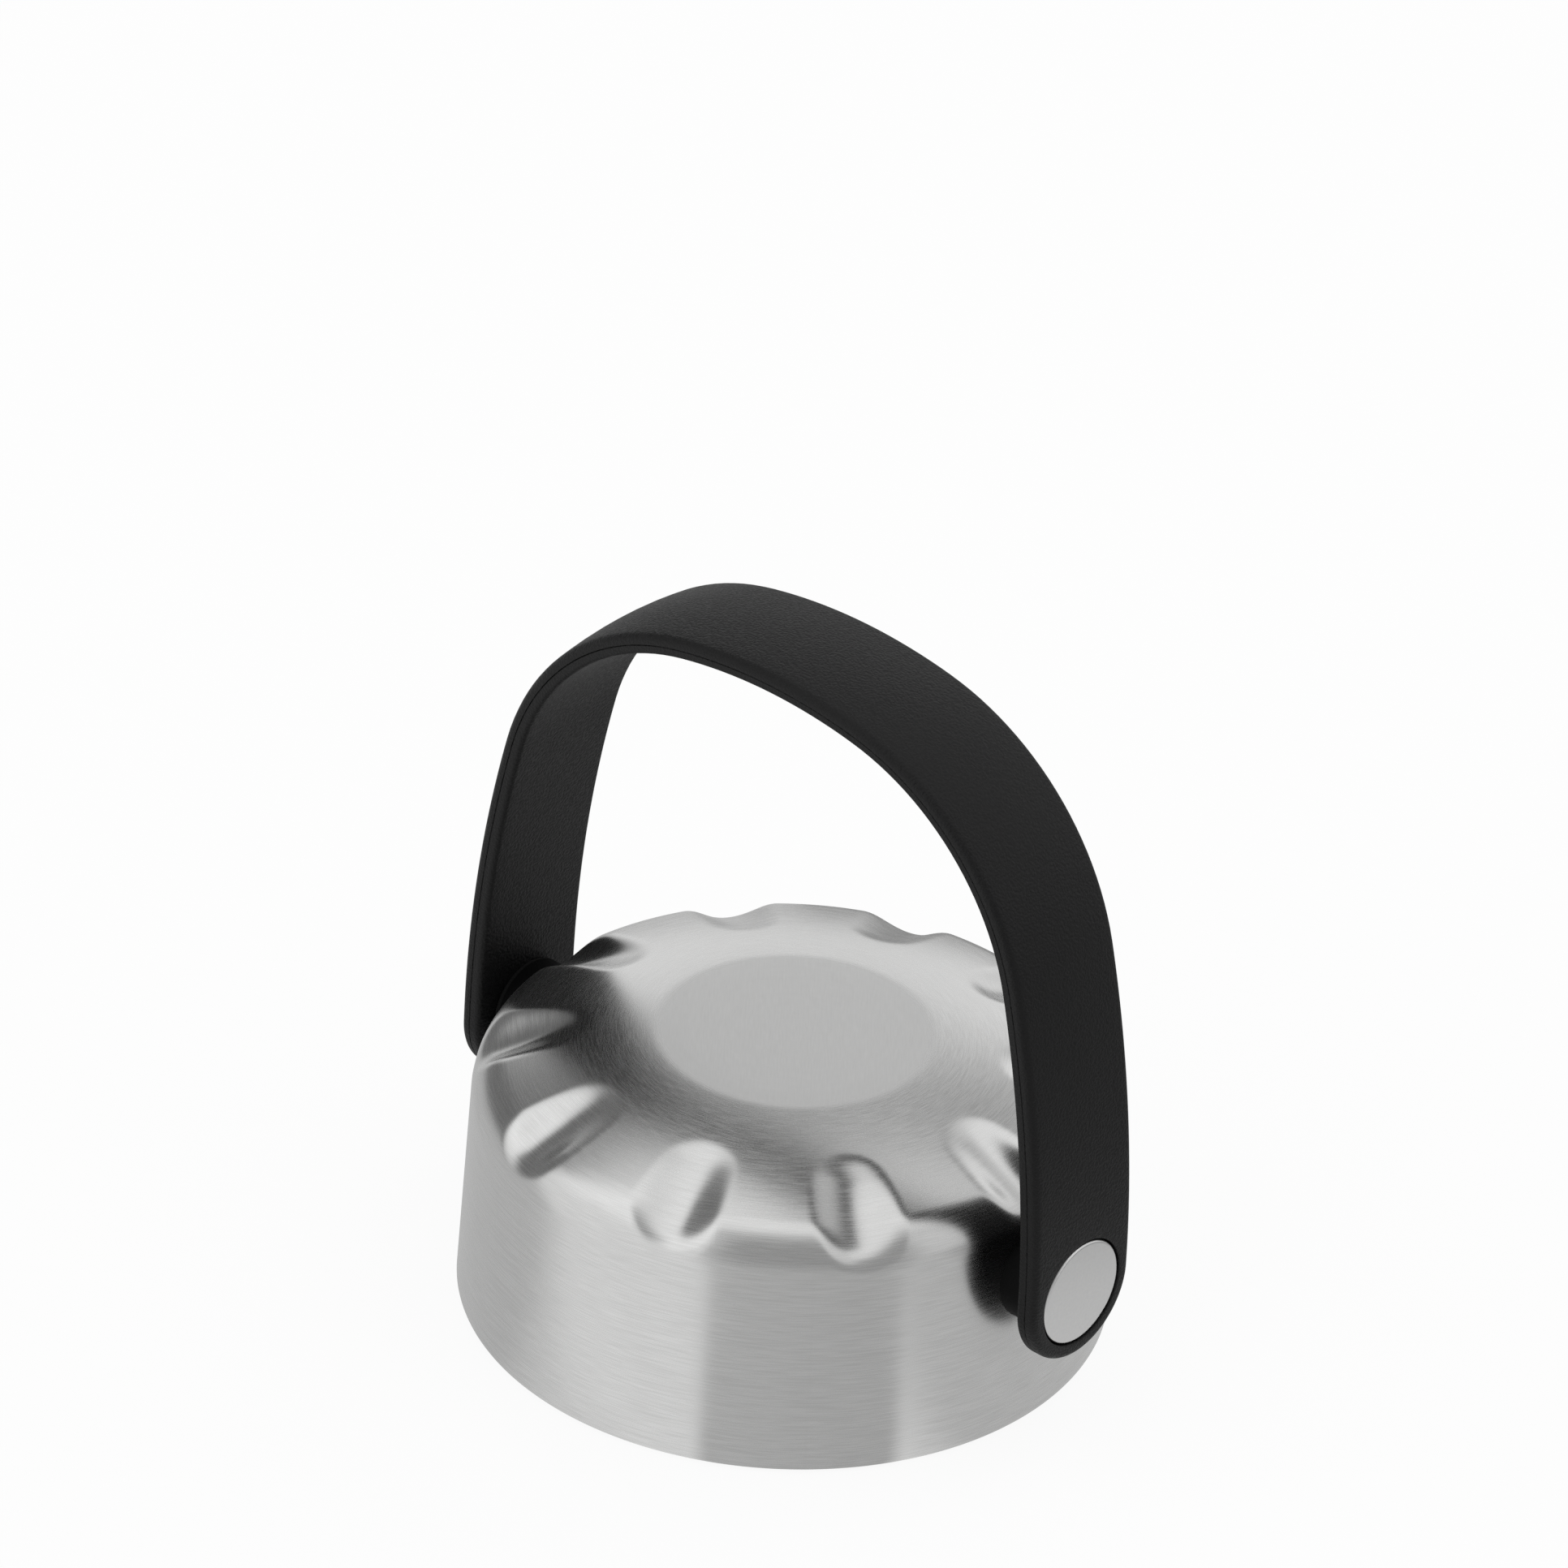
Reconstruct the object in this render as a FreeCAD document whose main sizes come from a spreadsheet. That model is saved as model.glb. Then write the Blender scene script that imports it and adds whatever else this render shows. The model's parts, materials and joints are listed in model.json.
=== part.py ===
import FreeCAD, Part
import math
import os
import Sketcher

# Lid of a drinking bottle: a fluted steel cap over a moulded liner, with a strap handle on two pivots.
# Millimetres, +Z up. The origin is the centre of the rim that the lid stands on, and the handle's pivot
# axis is parallel to X. Every size is a cell of the sheet below, and all pieces read it.

SIZES = [
    # The cap: one deep-drawn sheet with a rolled rim, a leaning wall, a round shoulder and a low dome
    ("cap_radius", 29.15, "widest radius, just above the rim"),
    ("cap_height", 27.0, "height of the flat disc in the middle"),
    ("sheet_wall", 0.7, "thickness of the steel"),
    ("rim_roll", 0.9, "outside radius of the rolled rim"),
    ("rim_lip", 1.85, "reach of the rolled lip under the liner"),
    ("wall_lean", 0.75, "how much narrower the cap is where its shoulder starts"),
    ("shoulder_roll", 4.6, "radius of the shoulder"),
    ("dome_curve", 54.7, "radius of the dome's arc"),
    ("dome_crease", 6.0, "slope of the dome where the flat disc ends, degrees"),
    ("disc_radius", 12.4, "radius of the flat disc"),
    # The flutes: thumb grips pressed into the shoulder, each a leaning round groove
    ("flute_count", 10, "flutes round the cap, one at each pivot"),
    ("flute_radius", 5.5, "radius of a flute's round floor and of its inner end"),
    ("flute_slope", 20.5, "fall of the floor, degrees"),
    ("flute_length", 7.85, "distance from the cap's widest radius in to the centre of the round inner end"),
    ("flute_lift", 2.0, "height of the floor's outer end above the centre of the shoulder's arc"),
    ("flute_edge", 1.5, "rounding of a flute's border"),
    # The handle: a strap of even width, bent to an arch of three arcs on each side
    ("pivot_height", 15.45, "height of the pivot axis"),
    ("handle_gap", 2.5, "gap between the cap's widest radius and the strap's inner face at the pivot"),
    ("handle_top", 67.1, "height of the arch above the rim"),
    ("handle_width", 13.0, "width of the strap"),
    ("leg_wall", 2.1, "thickness of the strap at the pivot"),
    ("crown_wall", 2.4, "thickness of the strap at the top"),
    ("leg_curve", 135.0, "outside radius of the leg's slow arc"),
    ("leg_curve_inside", 122.8, "inside radius of the leg's slow arc"),
    ("bend_curve", 25.6, "outside radius of the bend"),
    ("bend_curve_inside", 23.7, "inside radius of the bend"),
    ("crown_curve", 51.0, "outside radius of the crown"),
    ("crown_curve_inside", 45.6, "inside radius of the crown"),
    ("strap_edge", 0.7, "rounding of the strap's outer edges"),
    ("strap_edge_inside", 0.5, "rounding of the strap's inner edges"),
    # The pivots
    ("post_head_radius", 4.93, "radius of the post's flat head"),
    ("post_head_ring", 0.17, "gap round the head"),
    ("post_head_seat", 1.05, "depth of the seat that is sunk in the strap for the head"),
    ("post_head_bevel", 0.25, "bevel of the head's edge"),
    ("post_head_recess", 0.05, "how far the head lies below the strap's face"),
    ("barrel_radius", 3.0, "radius of the post's barrel, which the strap turns on"),
    ("spigot_radius", 2.0, "radius of the post inside the saddle and the cap's wall"),
    ("spigot_stop", 0.4, "how far the spigot ends before the plate's inner face"),
    ("running_gap", 0.05, "clearance of what turns on the barrel"),
    ("seat_gap", 0.05, "clearance of holes round the spigot and the screw"),
    ("washer_radius", 4.4, "outer radius of the friction washer"),
    ("washer_wall", 0.4, "thickness of the friction washer"),
    ("washer_gap", 0.12, "gap between the washer and the strap, whose leg curves in above the pivot"),
    ("saddle_radius", 4.5, "radius of the saddle"),
    ("saddle_bed", 5.0, "depth of the saddle's blank, before it is cut to the cap's curve"),
    ("plate_radius", 3.1, "radius of the backing plate"),
    ("plate_reach", 2.75, "distance from the cap's widest radius in to the plate's inner face"),
    ("screw_radius", 1.25, "radius of the screw's shank"),
    ("screw_length", 4.4, "length of the shank"),
    ("screw_head_radius", 2.3, "radius of the screw's head"),
    ("screw_head_height", 1.4, "height of the screw's head"),
    ("screw_head_round", 0.4, "rounding of the screw's head"),
    ("screw_key_radius", 0.95, "corner radius of the screw's key hole"),
    ("screw_key_depth", 0.8, "depth of the screw's key hole"),
    # The liner and its gasket
    ("liner_gap", 0.15, "clearance between the liner and the cap's wall"),
    ("liner_lift", 0.05, "clearance between the liner's foot and the rolled lip"),
    ("liner_wall", 2.7, "thickness of the liner's foot, from its outside to the bore that takes the neck"),
    ("neck_lead", 0.6, "bevel at the mouth of the bore"),
    ("seat_height", 1.2, "height of the gasket's seat, from the bore's upper end to the roof"),
    ("gasket_seat", 0.3, "how much wider the gasket's seat is than the bore"),
    ("gasket_gap", 0.1, "clearance round the gasket"),
    ("gasket_wall", 1.1, "thickness of the gasket"),
    ("gasket_width", 4.3, "width of the gasket's flat ring"),
    ("roof_gap", 0.25, "gap between the backing plates and the roof that the gasket lies against"),
    ("roof_wall", 2.0, "thickness of the roof"),
    ("ring_gap", 5.3, "distance from the centre of a flute's inner end in to the ring that carries the dome"),
    ("ring_wall", 1.4, "thickness of that ring"),
    ("ring_drop", 0.19, "how far the ring's top ends below the dome's inner face"),
    ("rib_wall", 1.2, "thickness of a rib"),
    ("rib_height", 8.5, "height of a rib at the ring"),
    ("rib_foot_height", 4.6, "height of a rib at the wall"),
    ("rib_shelf", 5.4, "length of the rib's sloping outer part"),
    ("rib_sink", 0.4, "how far a rib is sunk in the ring and the roof"),
]

# The planes and axes of a sketch, by the numbers that the sketcher gives them
START, END, CENTRE = range(1, 4)
ACROSS_AXIS, UP_AXIS = range(-1, -3, -1)
ORIGIN_POINT = (ACROSS_AXIS, START)
# Two lengths that differ by less than this are the same length
SAME_LENGTH = 1e-6


# The document and its sheet of sizes
def make_document():
    document = FreeCAD.newDocument("bottle_lid")
    sheet = document.addObject("Spreadsheet::Sheet", "sizes")
    for row, (alias, number, note) in enumerate(SIZES, start=1):
        sheet.set("A%d" % row, str(number))
        sheet.setAlias("A%d" % row, alias)
        sheet.set("B%d" % row, note)
    document.recompute()
    return document


def size(document, alias):
    return float(document.sizes.get(alias))


# Sketches, and outlines in them that follow the sheet
def origin_part(body, role):
    for feature in body.Origin.OriginFeatures:
        if feature.Role == role:
            return feature


def new_sketch(body, name, role="XZ_Plane", rise=None):
    sketch = body.newObject("Sketcher::SketchObject", name)
    sketch.AttachmentSupport = [(origin_part(body, role), "")]
    sketch.MapMode = "FlatFace"
    if rise:
        sketch.setExpression(".AttachmentOffset.Base.y", rise)
    return sketch


def bind_point(sketch, edge, end, across, up):
    if across == "0":
        sketch.addConstraint(Sketcher.Constraint("PointOnObject", edge, end, UP_AXIS))
    elif across:
        start = sketch.evalExpression(across)
        number = sketch.addConstraint(Sketcher.Constraint("DistanceX", *ORIGIN_POINT, edge, end, start))
        sketch.setExpression("Constraints[%d]" % number, across)
    if up == "0":
        sketch.addConstraint(Sketcher.Constraint("PointOnObject", edge, end, ACROSS_AXIS))
    elif up:
        start = sketch.evalExpression(up)
        number = sketch.addConstraint(Sketcher.Constraint("DistanceY", *ORIGIN_POINT, edge, end, start))
        sketch.setExpression("Constraints[%d]" % number, up)


def bind_radius(sketch, edge, radius):
    start = sketch.evalExpression(radius)
    number = sketch.addConstraint(Sketcher.Constraint("Radius", edge, start))
    sketch.setExpression("Constraints[%d]" % number, radius)


def add_line(sketch, first, last):
    ends = [FreeCAD.Vector(point[0], point[1], 0) for point in (first, last)]
    return sketch.addGeometry(Part.LineSegment(*ends))


def add_arc(sketch, centre, radius, first_angle, last_angle):
    circle = Part.Circle(FreeCAD.Vector(centre[0], centre[1], 0), FreeCAD.Vector(0, 0, 1), radius)
    return sketch.addGeometry(Part.ArcOfCircle(circle, first_angle, last_angle))


def join(sketch, first, last, first_end=END, last_end=START, tangent=False):
    kind = "Tangent" if tangent else "Coincident"
    sketch.addConstraint(Sketcher.Constraint(kind, first, first_end, last, last_end))


def add_polygon(sketch, corners):
    """A closed outline whose corners are pairs of expressions over the sheet."""
    places = [[sketch.evalExpression(text) for text in corner] for corner in corners]
    count = len(corners)
    edges = [add_line(sketch, places[i], places[(i + 1) % count]) for i in range(count)]
    for i in range(count):
        join(sketch, edges[i - 1], edges[i])
        bind_point(sketch, edges[i], START, *corners[i])
    return edges


def box_corners(first_across, last_across, low, high):
    return [(first_across, low), (last_across, low), (last_across, high), (first_across, high)]


def along(centre, radius, angle):
    return (centre[0] + radius * math.cos(angle), centre[1] + radius * math.sin(angle))


def bearing(start, finish):
    return math.atan2(finish[1] - start[1], finish[0] - start[0])


# Features of a body
def revolve(body, sketch, name, axis="V_Axis", cut=False):
    kind = "PartDesign::Groove" if cut else "PartDesign::Revolution"
    feature = body.newObject(kind, name)
    feature.Profile = sketch
    feature.ReferenceAxis = (sketch, [axis])
    feature.Angle = 360
    return feature


def repeat_round(body, feature, sketch, name):
    pattern = body.newObject("PartDesign::PolarPattern", name)
    pattern.Originals = [feature]
    pattern.Axis = (sketch, ["V_Axis"])
    pattern.Angle = 360
    pattern.setExpression("Occurrences", "sizes.flute_count")
    body.Tip = pattern
    return pattern


def edges_where(feature, wanted):
    shape = feature.Shape
    return ["Edge%d" % (i + 1) for i, edge in enumerate(shape.Edges) if wanted(edge)]


def round_edges(body, base, names, radius, name, kind="PartDesign::Fillet"):
    feature = body.newObject(kind, name)
    feature.Base = (base, names)
    feature.setExpression("Radius" if kind.endswith("Fillet") else "Size", radius)
    return feature


def shape_boolean(document, kind, name, base, tool):
    feature = document.addObject(kind, name)
    feature.Base = base
    feature.Tool = tool
    return feature


def turn_to_left(feature):
    """The pieces of the left pivot are those of the right one, turned half round the cap's axis."""
    feature.Placement = FreeCAD.Placement(FreeCAD.Vector(), FreeCAD.Rotation(FreeCAD.Vector(0, 0, 1), 180))


# The cap. Its outer form and its cavity have the same outline, one sheet's thickness apart
DOME_ACROSS = "(sizes.disc_radius - sizes.dome_curve * sin(sizes.dome_crease))"
DOME_UP = "(sizes.cap_height - sizes.dome_curve * cos(sizes.dome_crease))"
SHOULDER_ACROSS = "(sizes.cap_radius - sizes.wall_lean - sizes.shoulder_roll)"
RIM_ACROSS = "sizes.cap_radius - sizes.rim_roll"
LIP_ACROSS = "sizes.cap_radius - sizes.sheet_wall - sizes.rim_lip"


def dome_height(across, inset):
    """Height, at a distance from the middle, of an arc that lies inset inside the dome's arc."""
    aside = "(" + across + " - " + DOME_ACROSS + ")"
    return "(" + DOME_UP + " + sqrt((sizes.dome_curve - " + inset + ") ^ 2 - " + aside + " ^ 2))"


# The shoulder's arc touches the dome's, so their centres lie as far apart as their radii differ
SHOULDER_UP = dome_height(SHOULDER_ACROSS, "sizes.shoulder_roll")


def draw_cap(document, sketch, inset):
    """The rim's roll, the wall, the shoulder, the dome and the flat disc, all inset by a wall."""
    skin = sketch.evalExpression(inset)
    rim = (sketch.evalExpression(RIM_ACROSS), size(document, "rim_roll"))
    shoulder = (sketch.evalExpression(SHOULDER_ACROSS), sketch.evalExpression(SHOULDER_UP))
    dome = (sketch.evalExpression(DOME_ACROSS), sketch.evalExpression(DOME_UP))
    rim_roll = size(document, "rim_roll") - skin
    shoulder_roll = size(document, "shoulder_roll") - skin
    dome_curve = size(document, "dome_curve") - skin
    top = size(document, "cap_height") - skin

    lean = math.acos((rim_roll - shoulder_roll) / math.dist(rim, shoulder))
    wall_angle = bearing(rim, shoulder) - lean
    dome_angle = bearing(dome, shoulder)
    crease_angle = math.asin((top - dome[1]) / dome_curve)
    disc_edge = along(dome, dome_curve, crease_angle)

    rim_arc = add_arc(sketch, rim, rim_roll, -math.pi / 2, wall_angle)
    wall = add_line(sketch, along(rim, rim_roll, wall_angle), along(shoulder, shoulder_roll, wall_angle))
    shoulder_arc = add_arc(sketch, shoulder, shoulder_roll, wall_angle, dome_angle)
    dome_arc = add_arc(sketch, dome, dome_curve, dome_angle, crease_angle)
    disc = add_line(sketch, disc_edge, (0, top))

    bind_point(sketch, rim_arc, CENTRE, RIM_ACROSS, "sizes.rim_roll")
    bind_radius(sketch, rim_arc, "sizes.rim_roll - " + inset)
    bind_point(sketch, rim_arc, START, RIM_ACROSS, None)
    join(sketch, rim_arc, wall, tangent=True)
    join(sketch, wall, shoulder_arc, tangent=True)
    bind_point(sketch, shoulder_arc, CENTRE, SHOULDER_ACROSS, None)
    bind_radius(sketch, shoulder_arc, "sizes.shoulder_roll - " + inset)
    join(sketch, shoulder_arc, dome_arc, tangent=True)
    bind_point(sketch, dome_arc, CENTRE, DOME_ACROSS, DOME_UP)
    bind_radius(sketch, dome_arc, "sizes.dome_curve - " + inset)
    join(sketch, dome_arc, disc)
    bind_point(sketch, disc, END, "0", "sizes.cap_height - " + inset)
    sketch.addConstraint(Sketcher.Constraint("Horizontal", disc))
    return rim_arc, disc


def close_outline(sketch, first_arc, last_line, corners):
    """Runs straight lines from the end of last_line through the corners to the start of first_arc."""
    places = [[sketch.evalExpression(text) for text in corner] for corner in corners]
    last_end = sketch.getPoint(last_line, END)
    arc_start = sketch.getPoint(first_arc, START)
    stops = [(last_end.x, last_end.y)] + places + [(arc_start.x, arc_start.y)]
    previous = last_line
    for i in range(len(stops) - 1):
        line = add_line(sketch, stops[i], stops[i + 1])
        join(sketch, previous, line)
        if i < len(corners):
            bind_point(sketch, line, END, *corners[i])
        previous = line
    join(sketch, previous, first_arc)


MOUTH_ACROSS = "(sizes.cap_radius - sizes.wall_lean)"
MOUTH_UP = "(" + SHOULDER_UP + " + sizes.flute_lift)"
FLUTE_START = "(sizes.cap_radius - sizes.flute_length)"
FLUTE_RUN = "(" + MOUTH_ACROSS + " + sizes.flute_radius * sin(sizes.flute_slope) - " + FLUTE_START + ")"
FLUTE_FALL = FLUTE_RUN + " * tan(sizes.flute_slope)"
FLUTE_START_UP = MOUTH_UP + " + sizes.flute_radius * cos(sizes.flute_slope) + " + FLUTE_FALL


def add_flutes(document, body, outline, growth):
    """Grooves of a round-ended tool that leans outward and runs out through the wall."""
    tool = new_sketch(body, "flute_outline", rise=FLUTE_START_UP)
    tool.AttachmentOffset = FreeCAD.Placement(
        FreeCAD.Vector(), FreeCAD.Rotation(FreeCAD.Vector(0, 0, -1), size(document, "flute_slope")),
    )
    tool.setExpression(".AttachmentOffset.Rotation.Angle", "sizes.flute_slope")
    tool.setExpression(".AttachmentOffset.Base.x", FLUTE_START)
    radius = "sizes.flute_radius + " + growth
    radius_mm = tool.evalExpression(radius)
    length_mm = size(document, "cap_radius")
    nose = add_arc(tool, (0, 0), radius_mm, math.pi / 2, math.pi)
    floor = add_line(tool, (length_mm, radius_mm), (0, radius_mm))
    back = add_line(tool, (length_mm, 0), (length_mm, radius_mm))
    middle = add_line(tool, (-radius_mm, 0), (length_mm, 0))
    tool.addConstraint(Sketcher.Constraint("Coincident", nose, CENTRE, *ORIGIN_POINT))
    bind_radius(tool, nose, radius)
    bind_point(tool, nose, START, "0", None)
    bind_point(tool, nose, END, None, "0")
    join(tool, floor, nose)
    join(tool, nose, middle)
    join(tool, middle, back)
    join(tool, back, floor)
    tool.addConstraint(Sketcher.Constraint("Horizontal", floor))
    tool.addConstraint(Sketcher.Constraint("Horizontal", middle))
    bind_point(tool, back, START, "sizes.cap_radius", None)
    tool.addConstraint(Sketcher.Constraint("Vertical", back))
    flute = revolve(body, tool, "flute", axis="H_Axis", cut=True)
    document.recompute()
    return repeat_round(body, flute, outline, "flutes")


def make_cap_form(document):
    body = document.addObject("PartDesign::Body", "cap_form")
    outline = new_sketch(body, "cap_outline")
    rim_arc, disc = draw_cap(document, outline, "0")
    close_outline(outline, rim_arc, disc, [("0", "0")])
    revolve(body, outline, "cap_turned")
    document.recompute()
    flutes = add_flutes(document, body, outline, "0")
    document.recompute()
    floor_radius = size(document, "flute_radius")

    def is_floor(face):
        round_floor = isinstance(face.Surface, (Part.Cylinder, Part.Sphere))
        return round_floor and abs(face.Surface.Radius - floor_radius) < SAME_LENGTH

    def borders_flute(edge):
        faces = flutes.Shape.ancestorsOfType(edge, Part.Face)
        return sum(is_floor(face) for face in faces) == 1

    borders = edges_where(flutes, borders_flute)
    body.Tip = round_edges(body, flutes, borders, "sizes.flute_edge", "flute_borders")
    document.recompute()
    return body


def make_cap_cavity(document):
    body = document.addObject("PartDesign::Body", "cap_cavity")
    outline = new_sketch(body, "cavity_outline")
    rim_arc, disc = draw_cap(document, outline, "sizes.sheet_wall")
    mouth = [("0", "0"), (LIP_ACROSS, "0"), (LIP_ACROSS, "sizes.sheet_wall")]
    close_outline(outline, rim_arc, disc, mouth)
    revolve(body, outline, "cavity_turned")
    document.recompute()
    add_flutes(document, body, outline, "sizes.sheet_wall")
    document.recompute()
    return body


def make_outer_shell(document, form, cavity):
    drawn = shape_boolean(document, "Part::Cut", "drawn_cap", form, cavity)
    hole = document.addObject("Part::Cylinder", "post_holes")
    hole.setExpression("Radius", "sizes.spigot_radius + sizes.seat_gap")
    hole.setExpression("Height", "2 * sizes.cap_radius")
    hole.Placement = FreeCAD.Placement(FreeCAD.Vector(), FreeCAD.Rotation(FreeCAD.Vector(0, 1, 0), 90))
    hole.setExpression(".Placement.Base.x", "-sizes.cap_radius")
    hole.setExpression(".Placement.Base.z", "sizes.pivot_height")
    shell = shape_boolean(document, "Part::Cut", "outer_shell", drawn, hole)
    return shell


# The handle. Its reach is the distance from the middle to the strap's outer face at the pivot
HANDLE_REACH = "(sizes.cap_radius + sizes.handle_gap + sizes.leg_wall)"
STRAP_INNER = "(sizes.cap_radius + sizes.handle_gap)"


def bend_centre(leg_centre, leg_apart, crown_centre, crown_apart):
    """The higher of the two places that lie leg_apart from one centre and crown_apart from the other."""
    across = crown_centre[0] - leg_centre[0]
    up = crown_centre[1] - leg_centre[1]
    distance = math.hypot(across, up)
    share = (leg_apart ** 2 - crown_apart ** 2 + distance ** 2) / (2 * distance)
    aside = math.sqrt(leg_apart ** 2 - share ** 2)
    middle = (leg_centre[0] + share * across / distance, leg_centre[1] + share * up / distance)
    aside_across = aside * up / distance
    aside_up = aside * across / distance
    sides = [(middle[0] - s * aside_across, middle[1] + s * aside_up) for s in (1, -1)]
    return max(sides, key=lambda place: place[1])


def draw_arch(sketch, reach, top, leg_curve, bend_curve, crown_curve):
    """Half an arch: a straight foot, then three arcs that meet smoothly and end level on the middle."""
    names = (reach, top, leg_curve, bend_curve, crown_curve)
    reach_mm, top_mm, leg_mm, bend_mm, crown_mm = [sketch.evalExpression(name) for name in names]
    pivot_mm = sketch.evalExpression("sizes.pivot_height")
    foot_mm = sketch.evalExpression("sizes.pivot_height - sizes.handle_width / 2")
    leg_centre = (reach_mm - leg_mm, pivot_mm)
    crown_centre = (0, top_mm - crown_mm)
    bend = bend_centre(leg_centre, leg_mm - bend_mm, crown_centre, crown_mm - bend_mm)
    lean = bearing(leg_centre, bend)
    turn = bearing(crown_centre, bend)

    foot = add_line(sketch, (reach_mm, foot_mm), (reach_mm, pivot_mm))
    leg = add_arc(sketch, leg_centre, leg_mm, 0, lean)
    bend_arc = add_arc(sketch, bend, bend_mm, lean, turn)
    crown = add_arc(sketch, crown_centre, crown_mm, turn, math.pi / 2)
    bind_point(sketch, foot, START, reach, "sizes.pivot_height - sizes.handle_width / 2")
    bind_point(sketch, foot, END, reach, "sizes.pivot_height")
    join(sketch, foot, leg, tangent=True)
    join(sketch, leg, bend_arc, tangent=True)
    join(sketch, bend_arc, crown, tangent=True)
    bind_radius(sketch, leg, leg_curve)
    bind_radius(sketch, bend_arc, bend_curve)
    bind_radius(sketch, crown, crown_curve)
    sketch.addConstraint(Sketcher.Constraint("PointOnObject", crown, CENTRE, UP_AXIS))
    bind_point(sketch, crown, END, "0", top)
    return foot, crown


def make_strap_handle(document):
    body = document.addObject("PartDesign::Body", "strap_handle")
    outline = new_sketch(body, "arch_outline")
    outside = draw_arch(
        outline, HANDLE_REACH, "sizes.handle_top",
        "sizes.leg_curve", "sizes.bend_curve", "sizes.crown_curve",
    )
    inside = draw_arch(
        outline, STRAP_INNER, "sizes.handle_top - sizes.crown_wall",
        "sizes.leg_curve_inside", "sizes.bend_curve_inside", "sizes.crown_curve_inside",
    )
    for first, last, end in ((outside[0], inside[0], START), (outside[1], inside[1], END)):
        first_point = outline.getPoint(first, end)
        last_point = outline.getPoint(last, end)
        cap_line = add_line(outline, (first_point.x, first_point.y), (last_point.x, last_point.y))
        join(outline, first, cap_line, first_end=end, last_end=START)
        join(outline, last, cap_line, first_end=end, last_end=END)
    arch = body.newObject("PartDesign::Pad", "half_arch")
    arch.Profile = outline
    arch.SideType = "Symmetric"
    arch.setExpression("Length", "sizes.handle_width")
    document.recompute()
    mirrored = body.newObject("PartDesign::Mirrored", "whole_arch")
    mirrored.Originals = [arch]
    mirrored.MirrorPlane = (origin_part(body, "YZ_Plane"), [""])
    body.Tip = mirrored
    document.recompute()
    rounded = round_feet(document, body)
    rounded = round_strap_edges(document, body, rounded, "outer_edges")
    round_strap_edges(document, body, rounded, "inner_edges", "_inside")
    bore = new_sketch(body, "pivot_bore_outline", rise="sizes.pivot_height")
    seat = "(" + HANDLE_REACH + " - sizes.post_head_seat)"
    hole_radius = "sizes.barrel_radius + sizes.running_gap"
    head_radius = "sizes.post_head_radius + sizes.post_head_ring"
    for side in ("", "-"):
        start = side + "(" + STRAP_INNER + " - sizes.leg_wall)"
        finish = side + "(" + HANDLE_REACH + " + sizes.leg_wall)"
        middle = side + seat
        corners = [(start, "0"), (start, hole_radius), (middle, hole_radius)]
        corners += [(middle, head_radius), (finish, head_radius), (finish, "0")]
        add_polygon(bore, corners)
    revolve(body, bore, "pivot_bores", axis="H_Axis", cut=True)
    document.recompute()
    return body


def round_feet(document, body):
    """Cuts the square ends of the strap to half circles about the pivot axis."""
    outline = new_sketch(body, "foot_outline", role="YZ_Plane", rise="sizes.pivot_height")
    half_mm = size(document, "handle_width") / 2
    low_mm = -2 * half_mm
    wide_mm = 2 * half_mm
    half = "sizes.handle_width / 2"
    arc = add_arc(outline, (0, 0), half_mm, math.pi, 2 * math.pi)
    sides = [(half_mm, 0), (wide_mm, 0), (wide_mm, low_mm), (-wide_mm, low_mm), (-wide_mm, 0), (-half_mm, 0)]
    lines = [add_line(outline, sides[i], sides[i + 1]) for i in range(len(sides) - 1)]
    join(outline, arc, lines[0])
    for first, last in zip(lines, lines[1:]):
        join(outline, first, last)
    join(outline, lines[-1], arc)
    outline.addConstraint(Sketcher.Constraint("Coincident", arc, CENTRE, *ORIGIN_POINT))
    bind_radius(outline, arc, half)
    bind_point(outline, lines[0], START, None, "0")
    bind_point(outline, lines[0], END, "sizes.handle_width", "0")
    bind_point(outline, lines[2], START, "sizes.handle_width", "-sizes.handle_width")
    bind_point(outline, lines[3], START, "-sizes.handle_width", "-sizes.handle_width")
    bind_point(outline, lines[4], START, "-sizes.handle_width", "0")
    bind_point(outline, lines[4], END, None, "0")
    pocket = body.newObject("PartDesign::Pocket", "round_feet")
    pocket.Profile = outline
    pocket.SideType = "Symmetric"
    pocket.setExpression("Length", "4 * " + HANDLE_REACH)
    document.recompute()
    return pocket


def round_strap_edges(document, body, base, name, face=""):
    """Rounds all edges of the strap's outer face or of its inner one."""
    reach = document.sizes.evalExpression(STRAP_INNER if face else HANDLE_REACH)
    curves = [size(document, alias + face) for alias in ("leg_curve", "bend_curve", "crown_curve")]

    def on_face(piece):
        surface = piece.Surface
        if isinstance(surface, Part.Cylinder):
            return any(abs(surface.Radius - curve) < SAME_LENGTH for curve in curves)
        return abs(abs(piece.CenterOfMass.x) - reach) < SAME_LENGTH

    def is_rim(edge):
        pieces = base.Shape.ancestorsOfType(edge, Part.Face)
        return sum(on_face(piece) for piece in pieces) == 1

    rounded = round_edges(body, base, edges_where(base, is_rim), "sizes.strap_edge" + face, name)
    document.recompute()
    return rounded


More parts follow.
